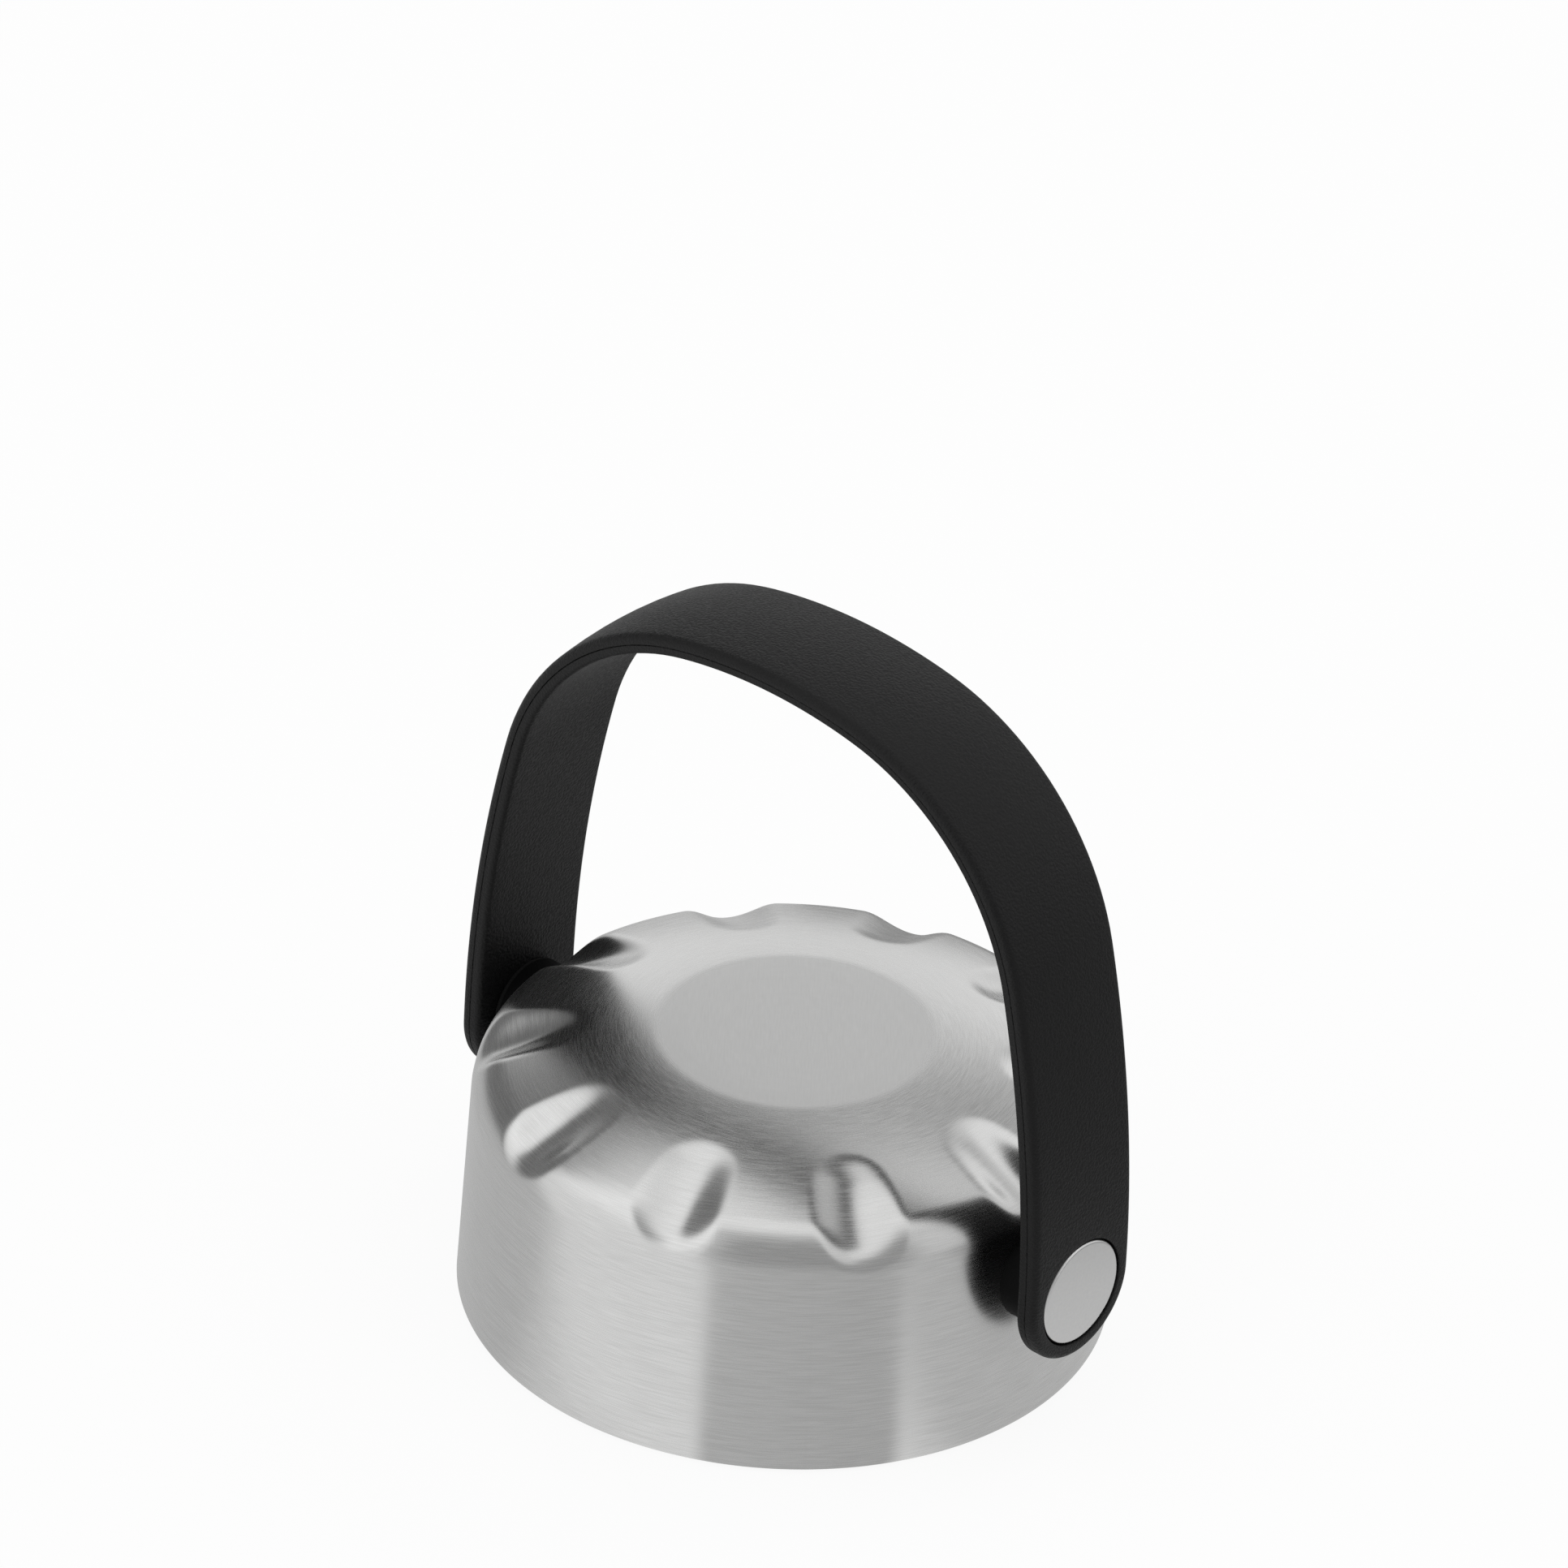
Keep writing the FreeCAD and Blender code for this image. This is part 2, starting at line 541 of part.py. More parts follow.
# The pivots, each a stack on one axis. The places along it are worked out from the strap inwards
SADDLE_FACE = "(" + STRAP_INNER + " - sizes.washer_gap - sizes.washer_wall)"
HEAD_UNDERSIDE = "(" + HANDLE_REACH + " - sizes.post_head_seat + sizes.running_gap)"
HEAD_FACE = "(" + HANDLE_REACH + " - sizes.post_head_recess)"
PLATE_INNER = "(sizes.cap_radius - sizes.plate_reach)"
SCREW_END = "(" + PLATE_INNER + " + sizes.screw_length)"
SPIGOT_HOLE = "(sizes.spigot_radius + sizes.seat_gap)"
BARREL_HOLE = "(sizes.barrel_radius + sizes.running_gap)"
SCREW_HOLE = "(sizes.screw_radius + sizes.seat_gap)"


def turned_piece(document, name, corners):
    """A body turned about the pivot axis from an outline of places along it and radii."""
    body = document.addObject("PartDesign::Body", name)
    outline = new_sketch(body, name + "_outline", rise="sizes.pivot_height")
    add_polygon(outline, corners)
    turned = revolve(body, outline, name + "_turned", axis="H_Axis")
    document.recompute()
    return body, turned


def circles_at(feature, radius, across):
    """The edges that are full circles of a radius at a place along the pivot axis."""

    def wanted(edge):
        round_edge = isinstance(edge.Curve, Part.Circle) and abs(edge.Curve.Radius - radius) < SAME_LENGTH
        return round_edge and abs(edge.Curve.Center.x - across) < SAME_LENGTH

    return edges_where(feature, wanted)


def make_pivot_post(document, name):
    corners = [
        (PLATE_INNER + " + sizes.spigot_stop", SCREW_HOLE),
        (PLATE_INNER + " + sizes.spigot_stop", "sizes.spigot_radius"),
        (SADDLE_FACE, "sizes.spigot_radius"),
        (SADDLE_FACE, "sizes.barrel_radius"),
        (HEAD_UNDERSIDE, "sizes.barrel_radius"),
        (HEAD_UNDERSIDE, "sizes.post_head_radius"),
        (HEAD_FACE, "sizes.post_head_radius"),
        (HEAD_FACE, "0"),
        (SCREW_END + " + sizes.seat_gap", "0"),
        (SCREW_END + " + sizes.seat_gap", SCREW_HOLE),
    ]
    body, turned = turned_piece(document, name, corners)
    face = document.sizes.evalExpression(HEAD_FACE)
    border = circles_at(turned, size(document, "post_head_radius"), face)
    round_edges(body, turned, border, "sizes.post_head_bevel", name + "_border")
    return body


def make_friction_washer(document, name):
    outer_end = "(" + SADDLE_FACE + " + sizes.washer_wall)"
    corners = box_corners(SADDLE_FACE, outer_end, BARREL_HOLE, "sizes.washer_radius")
    return turned_piece(document, name, corners)[0]


def make_pivot_saddle(document, name, form):
    inner_end = "(" + SADDLE_FACE + " - sizes.saddle_bed)"
    corners = box_corners(inner_end, SADDLE_FACE, SPIGOT_HOLE, "sizes.saddle_radius")
    blank = turned_piece(document, name + "_blank", corners)[0]
    return shape_boolean(document, "Part::Cut", name, blank, form)


def make_backing_plate(document, name, cavity):
    corners = box_corners(PLATE_INNER, "sizes.cap_radius", SPIGOT_HOLE, "sizes.plate_radius")
    blank = turned_piece(document, name + "_blank", corners)[0]
    return shape_boolean(document, "Part::Common", name, blank, cavity)


def make_post_screw(document, name):
    head_end = "(" + PLATE_INNER + " - sizes.screw_head_height)"
    corners = [
        (head_end, "0"),
        (head_end, "sizes.screw_head_radius"),
        (PLATE_INNER, "sizes.screw_head_radius"),
        (PLATE_INNER, "sizes.screw_radius"),
        (SCREW_END, "sizes.screw_radius"),
        (SCREW_END, "0"),
    ]
    body, turned = turned_piece(document, name, corners)
    border = circles_at(turned, size(document, "screw_head_radius"), turned.evalExpression(head_end))
    round_edges(body, turned, border, "sizes.screw_head_round", name + "_border")
    document.recompute()
    key = body.newObject("PartDesign::SubtractivePrism", name + "_key")
    key.AttachmentSupport = [(origin_part(body, "YZ_Plane"), "")]
    key.MapMode = "FlatFace"
    key.Polygon = 6
    key.setExpression("Circumradius", "sizes.screw_key_radius")
    key.setExpression("Height", "sizes.screw_key_depth")
    key.setExpression(".AttachmentOffset.Base.y", "sizes.pivot_height")
    key.setExpression(".AttachmentOffset.Base.z", head_end)
    return body


# The liner and its gasket
LINER_FOOT = "(sizes.sheet_wall + sizes.liner_lift)"
LINER_FOOT_RADIUS = "(sizes.cap_radius - sizes.sheet_wall - sizes.liner_gap)"
LINER_TOP_RADIUS = "(" + LINER_FOOT_RADIUS + " - sizes.wall_lean)"
NECK_RADIUS = "(" + LINER_FOOT_RADIUS + " - sizes.liner_wall)"
ROOF_TOP = "(sizes.pivot_height - sizes.plate_radius - sizes.roof_gap)"
ROOF_UNDERSIDE = "(" + ROOF_TOP + " - sizes.roof_wall)"
NECK_TOP = "(" + ROOF_UNDERSIDE + " - sizes.seat_height)"
RING_RADIUS = "(" + FLUTE_START + " - sizes.ring_gap)"
RING_INNER = "(" + RING_RADIUS + " - sizes.ring_wall)"
RING_TOP = "(" + dome_height(RING_RADIUS, "sizes.sheet_wall") + " - sizes.ring_drop)"
GASKET_SEAT_RADIUS = "(" + NECK_RADIUS + " + sizes.gasket_seat)"


def make_inner_liner(document):
    body = document.addObject("PartDesign::Body", "inner_liner")
    outline = new_sketch(body, "liner_outline")
    corners = [
        ("0", ROOF_UNDERSIDE),
        (GASKET_SEAT_RADIUS, ROOF_UNDERSIDE),
        (GASKET_SEAT_RADIUS, NECK_TOP),
        (NECK_RADIUS, NECK_TOP),
        (NECK_RADIUS, LINER_FOOT + " + sizes.neck_lead"),
        (NECK_RADIUS + " + sizes.neck_lead", LINER_FOOT),
        (LINER_FOOT_RADIUS, LINER_FOOT),
        (LINER_TOP_RADIUS, ROOF_TOP),
        (RING_RADIUS, ROOF_TOP),
        (RING_RADIUS, RING_TOP),
        (RING_INNER, RING_TOP),
        (RING_INNER, ROOF_TOP),
        ("0", ROOF_TOP),
    ]
    add_polygon(outline, corners)
    revolve(body, outline, "liner_turned")
    document.recompute()

    rib_outline = new_sketch(body, "rib_outline")
    rib_outline.AttachmentOffset = FreeCAD.Placement(
        FreeCAD.Vector(), FreeCAD.Rotation(FreeCAD.Vector(0, 1, 0), 180 / size(document, "flute_count")),
    )
    rib_outline.setExpression(".AttachmentOffset.Rotation.Angle", "180 / sizes.flute_count")
    root = "(" + RING_RADIUS + " - sizes.rib_sink)"
    floor = "(" + ROOF_TOP + " - sizes.rib_sink)"
    add_polygon(rib_outline, [
        (root, floor),
        (LINER_TOP_RADIUS, floor),
        (LINER_TOP_RADIUS, ROOF_TOP + " + sizes.rib_foot_height"),
        (LINER_TOP_RADIUS + " - sizes.rib_shelf", ROOF_TOP + " + sizes.rib_height"),
        (root, ROOF_TOP + " + sizes.rib_height"),
    ])
    rib = body.newObject("PartDesign::Pad", "rib")
    rib.Profile = rib_outline
    rib.SideType = "Symmetric"
    rib.setExpression("Length", "sizes.rib_wall")
    document.recompute()
    repeat_round(body, rib, outline, "ribs")
    document.recompute()
    return body


def make_sealing_gasket(document):
    """A flat ring, die-cut from sheet, so its edges are square."""
    body = document.addObject("PartDesign::Body", "sealing_gasket")
    outline = new_sketch(body, "gasket_outline")
    outer = "(" + GASKET_SEAT_RADIUS + " - sizes.gasket_gap)"
    inner = "(" + outer + " - sizes.gasket_width)"
    low = "(" + ROOF_UNDERSIDE + " - sizes.gasket_wall)"
    add_polygon(outline, box_corners(inner, outer, low, ROOF_UNDERSIDE))
    revolve(body, outline, "gasket_turned")
    return body


# The whole lid
def build(document):
    form = make_cap_form(document)
    cavity = make_cap_cavity(document)
    nodes = [make_outer_shell(document, form, cavity)]
    nodes.append(make_inner_liner(document))
    nodes.append(make_sealing_gasket(document))
    nodes.append(make_strap_handle(document))
    for side in ("right", "left"):
        stack = [
            make_pivot_post(document, "pivot_post_" + side),
            make_friction_washer(document, "friction_washer_" + side),
            make_pivot_saddle(document, "pivot_saddle_" + side, form),
            make_backing_plate(document, "backing_plate_" + side, cavity),
            make_post_screw(document, "post_screw_" + side),
        ]
        if side == "left":
            for piece in stack:
                turn_to_left(piece)
        nodes.extend(stack)
    document.recompute()
    return nodes


def check(document, nodes):
    for feature in document.Objects:
        if "Invalid" in feature.State or "Error" in feature.State:
            raise RuntimeError("%s is %s" % (feature.Name, feature.State))
    for node in nodes:
        if node.Shape.isNull() or not node.Shape.isValid():
            raise RuntimeError("%s has no valid shape" % node.Label)


def write(nodes):
    os.makedirs("parts", exist_ok=True)
    for node in nodes:
        box = node.Shape.BoundBox
        node.Shape.exportStep("parts/%s.step" % node.Label)
        print(
            "%-22s solids %d volume %9.1f mm3  x %.2f..%.2f  y %.2f..%.2f  z %.2f..%.2f"
            % (node.Label, len(node.Shape.Solids), node.Shape.Volume,
               box.XMin, box.XMax, box.YMin, box.YMax, box.ZMin, box.ZMax)
        )


lid = make_document()
lid_nodes = build(lid)
check(lid, lid_nodes)
write(lid_nodes)
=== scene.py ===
# %% [markdown]
# This is the screw lid of a drinking bottle: a drawn steel cap with thumb flutes round its shoulder, and
# a black strap that swings on two steel posts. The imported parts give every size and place. What is seen
# most, the cap and the strap, is modelled again here with fine meshes, because a reflection shows each
# facet of a coarse one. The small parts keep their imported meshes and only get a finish.

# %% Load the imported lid
import json
import math

import bmesh
import bpy
import numpy as np
from mathutils import Matrix, Vector


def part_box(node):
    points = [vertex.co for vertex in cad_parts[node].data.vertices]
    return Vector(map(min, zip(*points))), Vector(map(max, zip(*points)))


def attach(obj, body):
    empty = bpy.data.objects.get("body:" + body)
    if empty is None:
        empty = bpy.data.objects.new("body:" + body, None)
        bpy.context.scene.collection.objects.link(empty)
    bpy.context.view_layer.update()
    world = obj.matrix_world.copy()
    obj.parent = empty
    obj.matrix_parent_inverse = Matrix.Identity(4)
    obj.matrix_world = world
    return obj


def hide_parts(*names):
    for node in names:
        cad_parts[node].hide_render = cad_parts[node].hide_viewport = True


MM = 0.001
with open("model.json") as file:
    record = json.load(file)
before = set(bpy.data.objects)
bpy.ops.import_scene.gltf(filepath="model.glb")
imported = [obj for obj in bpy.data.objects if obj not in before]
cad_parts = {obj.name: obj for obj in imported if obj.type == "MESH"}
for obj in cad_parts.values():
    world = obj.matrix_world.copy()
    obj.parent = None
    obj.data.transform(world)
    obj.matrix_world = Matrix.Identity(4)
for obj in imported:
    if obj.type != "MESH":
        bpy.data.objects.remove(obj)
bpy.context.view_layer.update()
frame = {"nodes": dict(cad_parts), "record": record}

# %% [markdown]
# Blender's operators work on whatever is selected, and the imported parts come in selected. So each piece
# starts with nothing selected. A line is drawn from one vertex: a small plane is added and merged to its
# middle. From there a straight run is an extrusion, and a round stretch is a spin about its centre. That
# keeps every arc a true arc, with no list of points.

# %% Draw lines and arcs from one vertex
NEAR = 0.01 * MM


def start_piece(name):
    bpy.ops.object.select_all(action="DESELECT")
    bpy.ops.mesh.primitive_plane_add(size=MM)
    piece = bpy.context.object
    piece.name = name
    piece.data.name = name
    return piece


def start_line(name, place):
    piece = start_piece(name)
    bpy.ops.object.mode_set(mode="EDIT")
    bpy.ops.mesh.select_all(action="SELECT")
    bpy.ops.mesh.merge(type="CENTER")
    bpy.ops.transform.translate(value=place)
    return piece


def draw_run(step, count=1):
    for _ in range(count):
        bpy.ops.mesh.extrude_region_move(TRANSFORM_OT_translate={"value": step})


def draw_bend(centre, angle, steps, axis):
    bpy.ops.mesh.spin(steps=steps, angle=angle, center=centre, axis=axis)


def choose(piece, wanted):
    """Selects, in edit mode, the vertices whose place passes a test."""
    bpy.ops.mesh.select_all(action="DESELECT")
    mesh = bmesh.from_edit_mesh(piece.data)
    for vertex in mesh.verts:
        vertex.select = bool(wanted(vertex.co))
    mesh.select_flush(True)
    bmesh.update_edit_mesh(piece.data)


def report_piece(piece):
    triangles = sum(len(face.vertices) - 2 for face in piece.data.polygons)
    span = [round(side / MM, 2) for side in piece.dimensions]
    print(f"{piece.name}: {triangles} triangles, {span} mm")


# %% [markdown]
# The cap is one steel sheet drawn in a press, so its outline is one line: a lip under the rim, the rolled
# rim, a wall that leans in a little, the round shoulder, a low dome and a flat disc. Each arc touches the
# next, so the centres follow from the radii: two circles that touch from the inside lie as far apart as
# the difference of their radii.

# %% Sizes of the cap's outline
cap_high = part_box("outer_shell")[1]
CAP_RADIUS = cap_high.x
CAP_HEIGHT = cap_high.z
SHEET = 0.7 * MM
RIM_ROLL = 0.9 * MM
LIP_REACH = 1.85 * MM
WALL_LEAN = 0.75 * MM
SHOULDER_ROLL = 4.6 * MM
DOME_CURVE = 54.7 * MM
DOME_CREASE = math.radians(6)
CREASE_ROLL = 8 * MM
DISC_RADIUS = 12.4 * MM

dome_centre = Vector((
    DISC_RADIUS - DOME_CURVE * math.sin(DOME_CREASE),
    CAP_HEIGHT - DOME_CURVE * math.cos(DOME_CREASE),
))


def inside_dome(roll, across=None, up=None):
    """Centre of a circle that touches the dome's arc from the inside, from one of its coordinates."""
    apart = DOME_CURVE - roll
    if across is not None:
        return Vector((across, dome_centre.y + math.sqrt(apart**2 - (across - dome_centre.x) ** 2)))
    return Vector((dome_centre.x + math.sqrt(apart**2 - (up - dome_centre.y) ** 2), up))


def line_angle(start, finish):
    return math.atan2(finish.y - start.y, finish.x - start.x)


rim_centre = Vector((CAP_RADIUS - RIM_ROLL, RIM_ROLL))
shoulder_centre = inside_dome(SHOULDER_ROLL, across=CAP_RADIUS - WALL_LEAN - SHOULDER_ROLL)
crease_centre = inside_dome(CREASE_ROLL, up=CAP_HEIGHT - CREASE_ROLL)
wall_apart = (shoulder_centre - rim_centre).length
wall_angle = line_angle(rim_centre, shoulder_centre) - math.acos((RIM_ROLL - SHOULDER_ROLL) / wall_apart)
dome_angle = line_angle(dome_centre, shoulder_centre)
crease_angle = line_angle(dome_centre, crease_centre)
print("wall leans", round(math.degrees(wall_angle), 2), "degrees")
print("shoulder centre, mm:", shoulder_centre / MM)

# %% Draw the outline and turn it round the cap's axis
ROUND_STEPS = 480
LIP_STEPS = 3
RIM_STEPS = 9
WALL_STEPS = 10
SHOULDER_STEPS = 22
DOME_STEPS = 32
CREASE_STEPS = 4
DISC_STEPS = 4
NOTHING = (0, 0, 0)
UP = (0, 0, 1)
ACROSS = (0, 1, 0)


def upright(place):
    return (place.x, 0, place.y)


cap_shell = start_line("cap_shell", (CAP_RADIUS - SHEET - LIP_REACH, 0, 0))
lip_run = SHEET + LIP_REACH - RIM_ROLL
draw_run((lip_run / LIP_STEPS, 0, 0), LIP_STEPS)
draw_bend(upright(rim_centre), math.pi / 2 + wall_angle, RIM_STEPS, ACROSS)
wall_way = Vector((math.cos(wall_angle), math.sin(wall_angle)))
wall_low = rim_centre + RIM_ROLL * wall_way
wall_high = shoulder_centre + SHOULDER_ROLL * wall_way
draw_run(upright((wall_high - wall_low) / WALL_STEPS), WALL_STEPS)
draw_bend(upright(shoulder_centre), dome_angle - wall_angle, SHOULDER_STEPS, ACROSS)
draw_bend(upright(dome_centre), crease_angle - dome_angle, DOME_STEPS, ACROSS)
draw_bend(upright(crease_centre), math.pi / 2 - crease_angle, CREASE_STEPS, ACROSS)
draw_run((-crease_centre.x / DISC_STEPS, 0, 0), DISC_STEPS)
bpy.ops.mesh.select_all(action="SELECT")
draw_bend(NOTHING, 2 * math.pi, ROUND_STEPS, UP)
bpy.ops.mesh.select_all(action="SELECT")
bpy.ops.mesh.remove_doubles(threshold=0.001 * MM)
bpy.ops.mesh.normals_make_consistent(inside=False)
bpy.ops.object.mode_set(mode="OBJECT")
report_piece(cap_shell)

# %% [markdown]
# The ten flutes are pressed into the shoulder by a round-ended tool that leans outward. A boolean would
# cut them, but with hard borders that steel can't have. So each vertex is pushed inward along its normal
# until it lies on the tool. Where tool and sheet meet, a smooth maximum of the two distances gives the
# soft border: it is the larger of two numbers, rounded off where they are nearly the same.

# %% Press the flutes
FLUTE_COUNT = 10
FLUTE_RADIUS = 4.6 * MM
FLUTE_SLOPE = math.radians(27)
FLUTE_START = CAP_RADIUS - 6.5 * MM
FLUTE_LIFT = 1.4 * MM
FLUTE_BORDER = 1.0 * MM
PRESS_LIMIT = 8 * MM
PRESS_HALVINGS = 30

mouth_across = CAP_RADIUS - WALL_LEAN
flute_run = mouth_across + FLUTE_RADIUS * math.sin(FLUTE_SLOPE) - FLUTE_START
flute_rise = FLUTE_RADIUS * math.cos(FLUTE_SLOPE) + flute_run * math.tan(FLUTE_SLOPE)
tool_start = np.array((FLUTE_START, 0, shoulder_centre.y + FLUTE_LIFT + flute_rise))
tool_way = np.array((math.cos(FLUTE_SLOPE), 0, -math.sin(FLUTE_SLOPE)))


def smooth_larger(first, second, border):
    closeness = np.clip(border - np.abs(first - second), 0, None) / border
    return np.maximum(first, second) + closeness**2 * border / 4


def tool_distance(points):
    along = np.clip((points - tool_start) @ tool_way, 0, None)
    return np.linalg.norm(points - tool_start - along[:, None] * tool_way, axis=1)


def press_depth(points, inward):
    """Halves the interval between no push and the limit until each point lies on the pressed sheet."""
    low, high = np.zeros(len(points)), np.full(len(points), PRESS_LIMIT)
    for _ in range(PRESS_HALVINGS):
        push = (low + high) / 2
        tool = FLUTE_RADIUS - tool_distance(points + push[:, None] * inward)
        outside = smooth_larger(-push, tool, FLUTE_BORDER) > 0
        low, high = np.where(outside, push, low), np.where(outside, high, push)
    return low


def turn_about_axis(points, angles):
    turned = points.copy()
    turned[:, 0] = points[:, 0] * np.cos(angles) - points[:, 1] * np.sin(angles)
    turned[:, 1] = points[:, 0] * np.sin(angles) + points[:, 1] * np.cos(angles)
    return turned


def press_flutes(piece):
    count = len(piece.data.vertices)
    points, normals = np.zeros(count * 3), np.zeros(count * 3)
    piece.data.vertices.foreach_get("co", points)
    piece.data.vertices.foreach_get("normal", normals)
    points, normals = points.reshape(-1, 3), normals.reshape(-1, 3)
    pitch = 2 * math.pi / FLUTE_COUNT
    nearest = np.round(np.arctan2(points[:, 1], points[:, 0]) / pitch) * pitch
    depth = press_depth(turn_about_axis(points, -nearest), turn_about_axis(-normals, -nearest))
    points = points - depth[:, None] * normals
    piece.data.vertices.foreach_set("co", points.ravel())
    piece.data.update()
    return depth


depth = press_flutes(cap_shell)
print("deepest push, mm:", round(depth.max() / MM, 2), "points moved:", int((depth > NEAR).sum()))

# %% [markdown]
# What was drawn is only the outer skin. Solidify gives it the sheet's thickness, inward, so that the flutes
# show inside the cap too. The posts pass through the wall, and one long rod cuts both of their holes.

# %% Give the sheet its thickness and bore the post holes
ROD_SIDES = 96


def finish_with(piece, kind, **settings):
    """Adds a modifier, sets it and applies it."""
    bpy.ops.object.select_all(action="DESELECT")
    piece.select_set(True)
    bpy.context.view_layer.objects.active = piece
    modifier = piece.modifiers.new(kind.title(), kind)
    for name, value in settings.items():
        setattr(modifier, name, value)
    bpy.ops.object.modifier_apply(modifier=modifier.name)


def shade(piece, sharpest):
    bpy.ops.object.select_all(action="DESELECT")
    piece.select_set(True)
    bpy.context.view_layer.objects.active = piece
    bpy.ops.object.shade_smooth_by_angle(angle=math.radians(sharpest))


def make_rod(radius, length, place, rotation):
    bpy.ops.object.select_all(action="DESELECT")
    bpy.ops.mesh.primitive_cylinder_add(
        vertices=ROD_SIDES, radius=radius, depth=length, location=place, rotation=rotation
    )
    bpy.ops.object.transform_apply(location=True, rotation=True, scale=True)
    return bpy.context.object


def cut_away(piece, tool):
    finish_with(piece, "BOOLEAN", operation="DIFFERENCE", solver="EXACT", object=tool)
    bpy.data.objects.remove(tool)


PIVOT_HEIGHT = sum(corner.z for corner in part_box("pivot_post_right")) / 2
SPIGOT_HOLE = 2.05 * MM
THROUGH_CAP = 2.2 * CAP_RADIUS
ALONG_X = (0, math.pi / 2, 0)
finish_with(cap_shell, "SOLIDIFY", thickness=SHEET, offset=-1)
cut_away(cap_shell, make_rod(SPIGOT_HOLE, THROUGH_CAP, (0, 0, PIVOT_HEIGHT), ALONG_X))
shade(cap_shell, 40)
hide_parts("outer_shell")
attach(cap_shell, "lid")
report_piece(cap_shell)

# %% [markdown]
# The strap is moulded, but it is easiest to model as if it were cut from a flat bar: the round feet, the
# soft edges, the parting line and the two bores are all simple shapes on a flat bar. The bar then gets
# cross cuts, so that it can bend, and a Curve modifier lays it along the arch. The arch is drawn first,
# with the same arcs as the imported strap's outer face: a straight foot, a slow arc up the leg, a tighter
# bend, and the crown.

# %% Sizes of the arch
strap_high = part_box("strap_handle")[1]
HANDLE_REACH = strap_high.x
HANDLE_TOP = strap_high.z
HANDLE_HALF = strap_high.y
LEG_WALL = 2.1 * MM
CROWN_WALL = 2.4 * MM
LEG_CURVE = 135 * MM
BEND_CURVE = 25.6 * MM
CROWN_CURVE = 51 * MM

leg_centre = Vector((HANDLE_REACH - LEG_CURVE, PIVOT_HEIGHT))
crown_centre = Vector((0, HANDLE_TOP - CROWN_CURVE))
leg_apart = LEG_CURVE - BEND_CURVE
crown_apart = CROWN_CURVE - BEND_CURVE
centres = crown_centre - leg_centre
share = (leg_apart**2 - crown_apart**2 + centres.length_squared) / (2 * centres.length)
aside = math.sqrt(leg_apart**2 - share**2)
centre_way = centres.normalized()
bend_centre = leg_centre + share * centre_way + aside * Vector((-centre_way.y, centre_way.x))
leg_turn = line_angle(leg_centre, bend_centre)
bend_turn = line_angle(crown_centre, bend_centre) - leg_turn
crown_turn = math.pi - 2 * (leg_turn + bend_turn)
half_length = HANDLE_HALF + LEG_CURVE * leg_turn + BEND_CURVE * bend_turn + CROWN_CURVE * crown_turn / 2
STRAP_LENGTH = 2 * half_length
print("strap length along its outer face, mm:", round(STRAP_LENGTH / MM, 2))

# %% Draw the arch as a flat curve
LEFTWARD = (0, 0, -1)
FOOT_RUNS = 8
LEG_STEPS = 60
BEND_STEPS = 40
CROWN_STEPS = 60


def flat(place, side=1):
    return (side * place.x, place.y, 0)


arch = start_line("arch", (HANDLE_REACH, PIVOT_HEIGHT - HANDLE_HALF, 0))
draw_run((0, HANDLE_HALF / FOOT_RUNS, 0), FOOT_RUNS)
draw_bend(flat(leg_centre), leg_turn, LEG_STEPS, LEFTWARD)
draw_bend(flat(bend_centre), bend_turn, BEND_STEPS, LEFTWARD)
draw_bend(flat(crown_centre), crown_turn, CROWN_STEPS, LEFTWARD)
draw_bend(flat(bend_centre, -1), bend_turn, BEND_STEPS, LEFTWARD)
draw_bend(flat(leg_centre, -1), leg_turn, LEG_STEPS, LEFTWARD)
draw_run((0, -HANDLE_HALF / FOOT_RUNS, 0), FOOT_RUNS)
bpy.ops.object.mode_set(mode="OBJECT")
bpy.ops.object.convert(target="CURVE")
arch = bpy.context.object
arch.data.dimensions = "2D"
print("arch curve:", len(arch.data.splines), "spline of", len(arch.data.splines[0].points), "points")

# %% Make the flat bar with its parting line and soft edges
FOOT_STEPS = 32
PARTING_WIDTH = 0.14 * MM
PARTING_DEPTH = 0.08 * MM
OUTER_EDGE = 0.7 * MM
INNER_EDGE = 0.5 * MM
EDGE_STEPS = 6

strap = start_piece("strap")
bpy.ops.object.mode_set(mode="EDIT")
bpy.ops.mesh.select_all(action="SELECT")
bpy.ops.transform.resize(value=(STRAP_LENGTH / MM, 2 * HANDLE_HALF / MM, 1))
bpy.ops.transform.translate(value=(STRAP_LENGTH / 2, 0, 0))
bpy.ops.mesh.bevel(offset=HANDLE_HALF, segments=FOOT_STEPS, affect="VERTICES", clamp_overlap=False)
bpy.ops.mesh.select_all(action="SELECT")
bpy.ops.mesh.remove_doubles(threshold=NEAR)
side_run = (LEG_WALL - PARTING_WIDTH) / 2
for thickness in (side_run, PARTING_WIDTH / 2, PARTING_WIDTH / 2, side_run):
    draw_run((0, 0, thickness))
bpy.ops.mesh.select_all(action="SELECT")
bpy.ops.mesh.normals_make_consistent(inside=False)
choose(strap, lambda place: abs(place.z - LEG_WALL / 2) < NEAR)
bpy.ops.transform.shrink_fatten(value=-PARTING_DEPTH)
for height, rounding in ((0, OUTER_EDGE), (LEG_WALL, INNER_EDGE)):
    choose(strap, lambda place: abs(place.z - height) < NEAR)
    bpy.ops.mesh.bevel(offset=rounding, segments=EDGE_STEPS, affect="EDGES", clamp_overlap=False)
bpy.ops.object.mode_set(mode="OBJECT")
report_piece(strap)

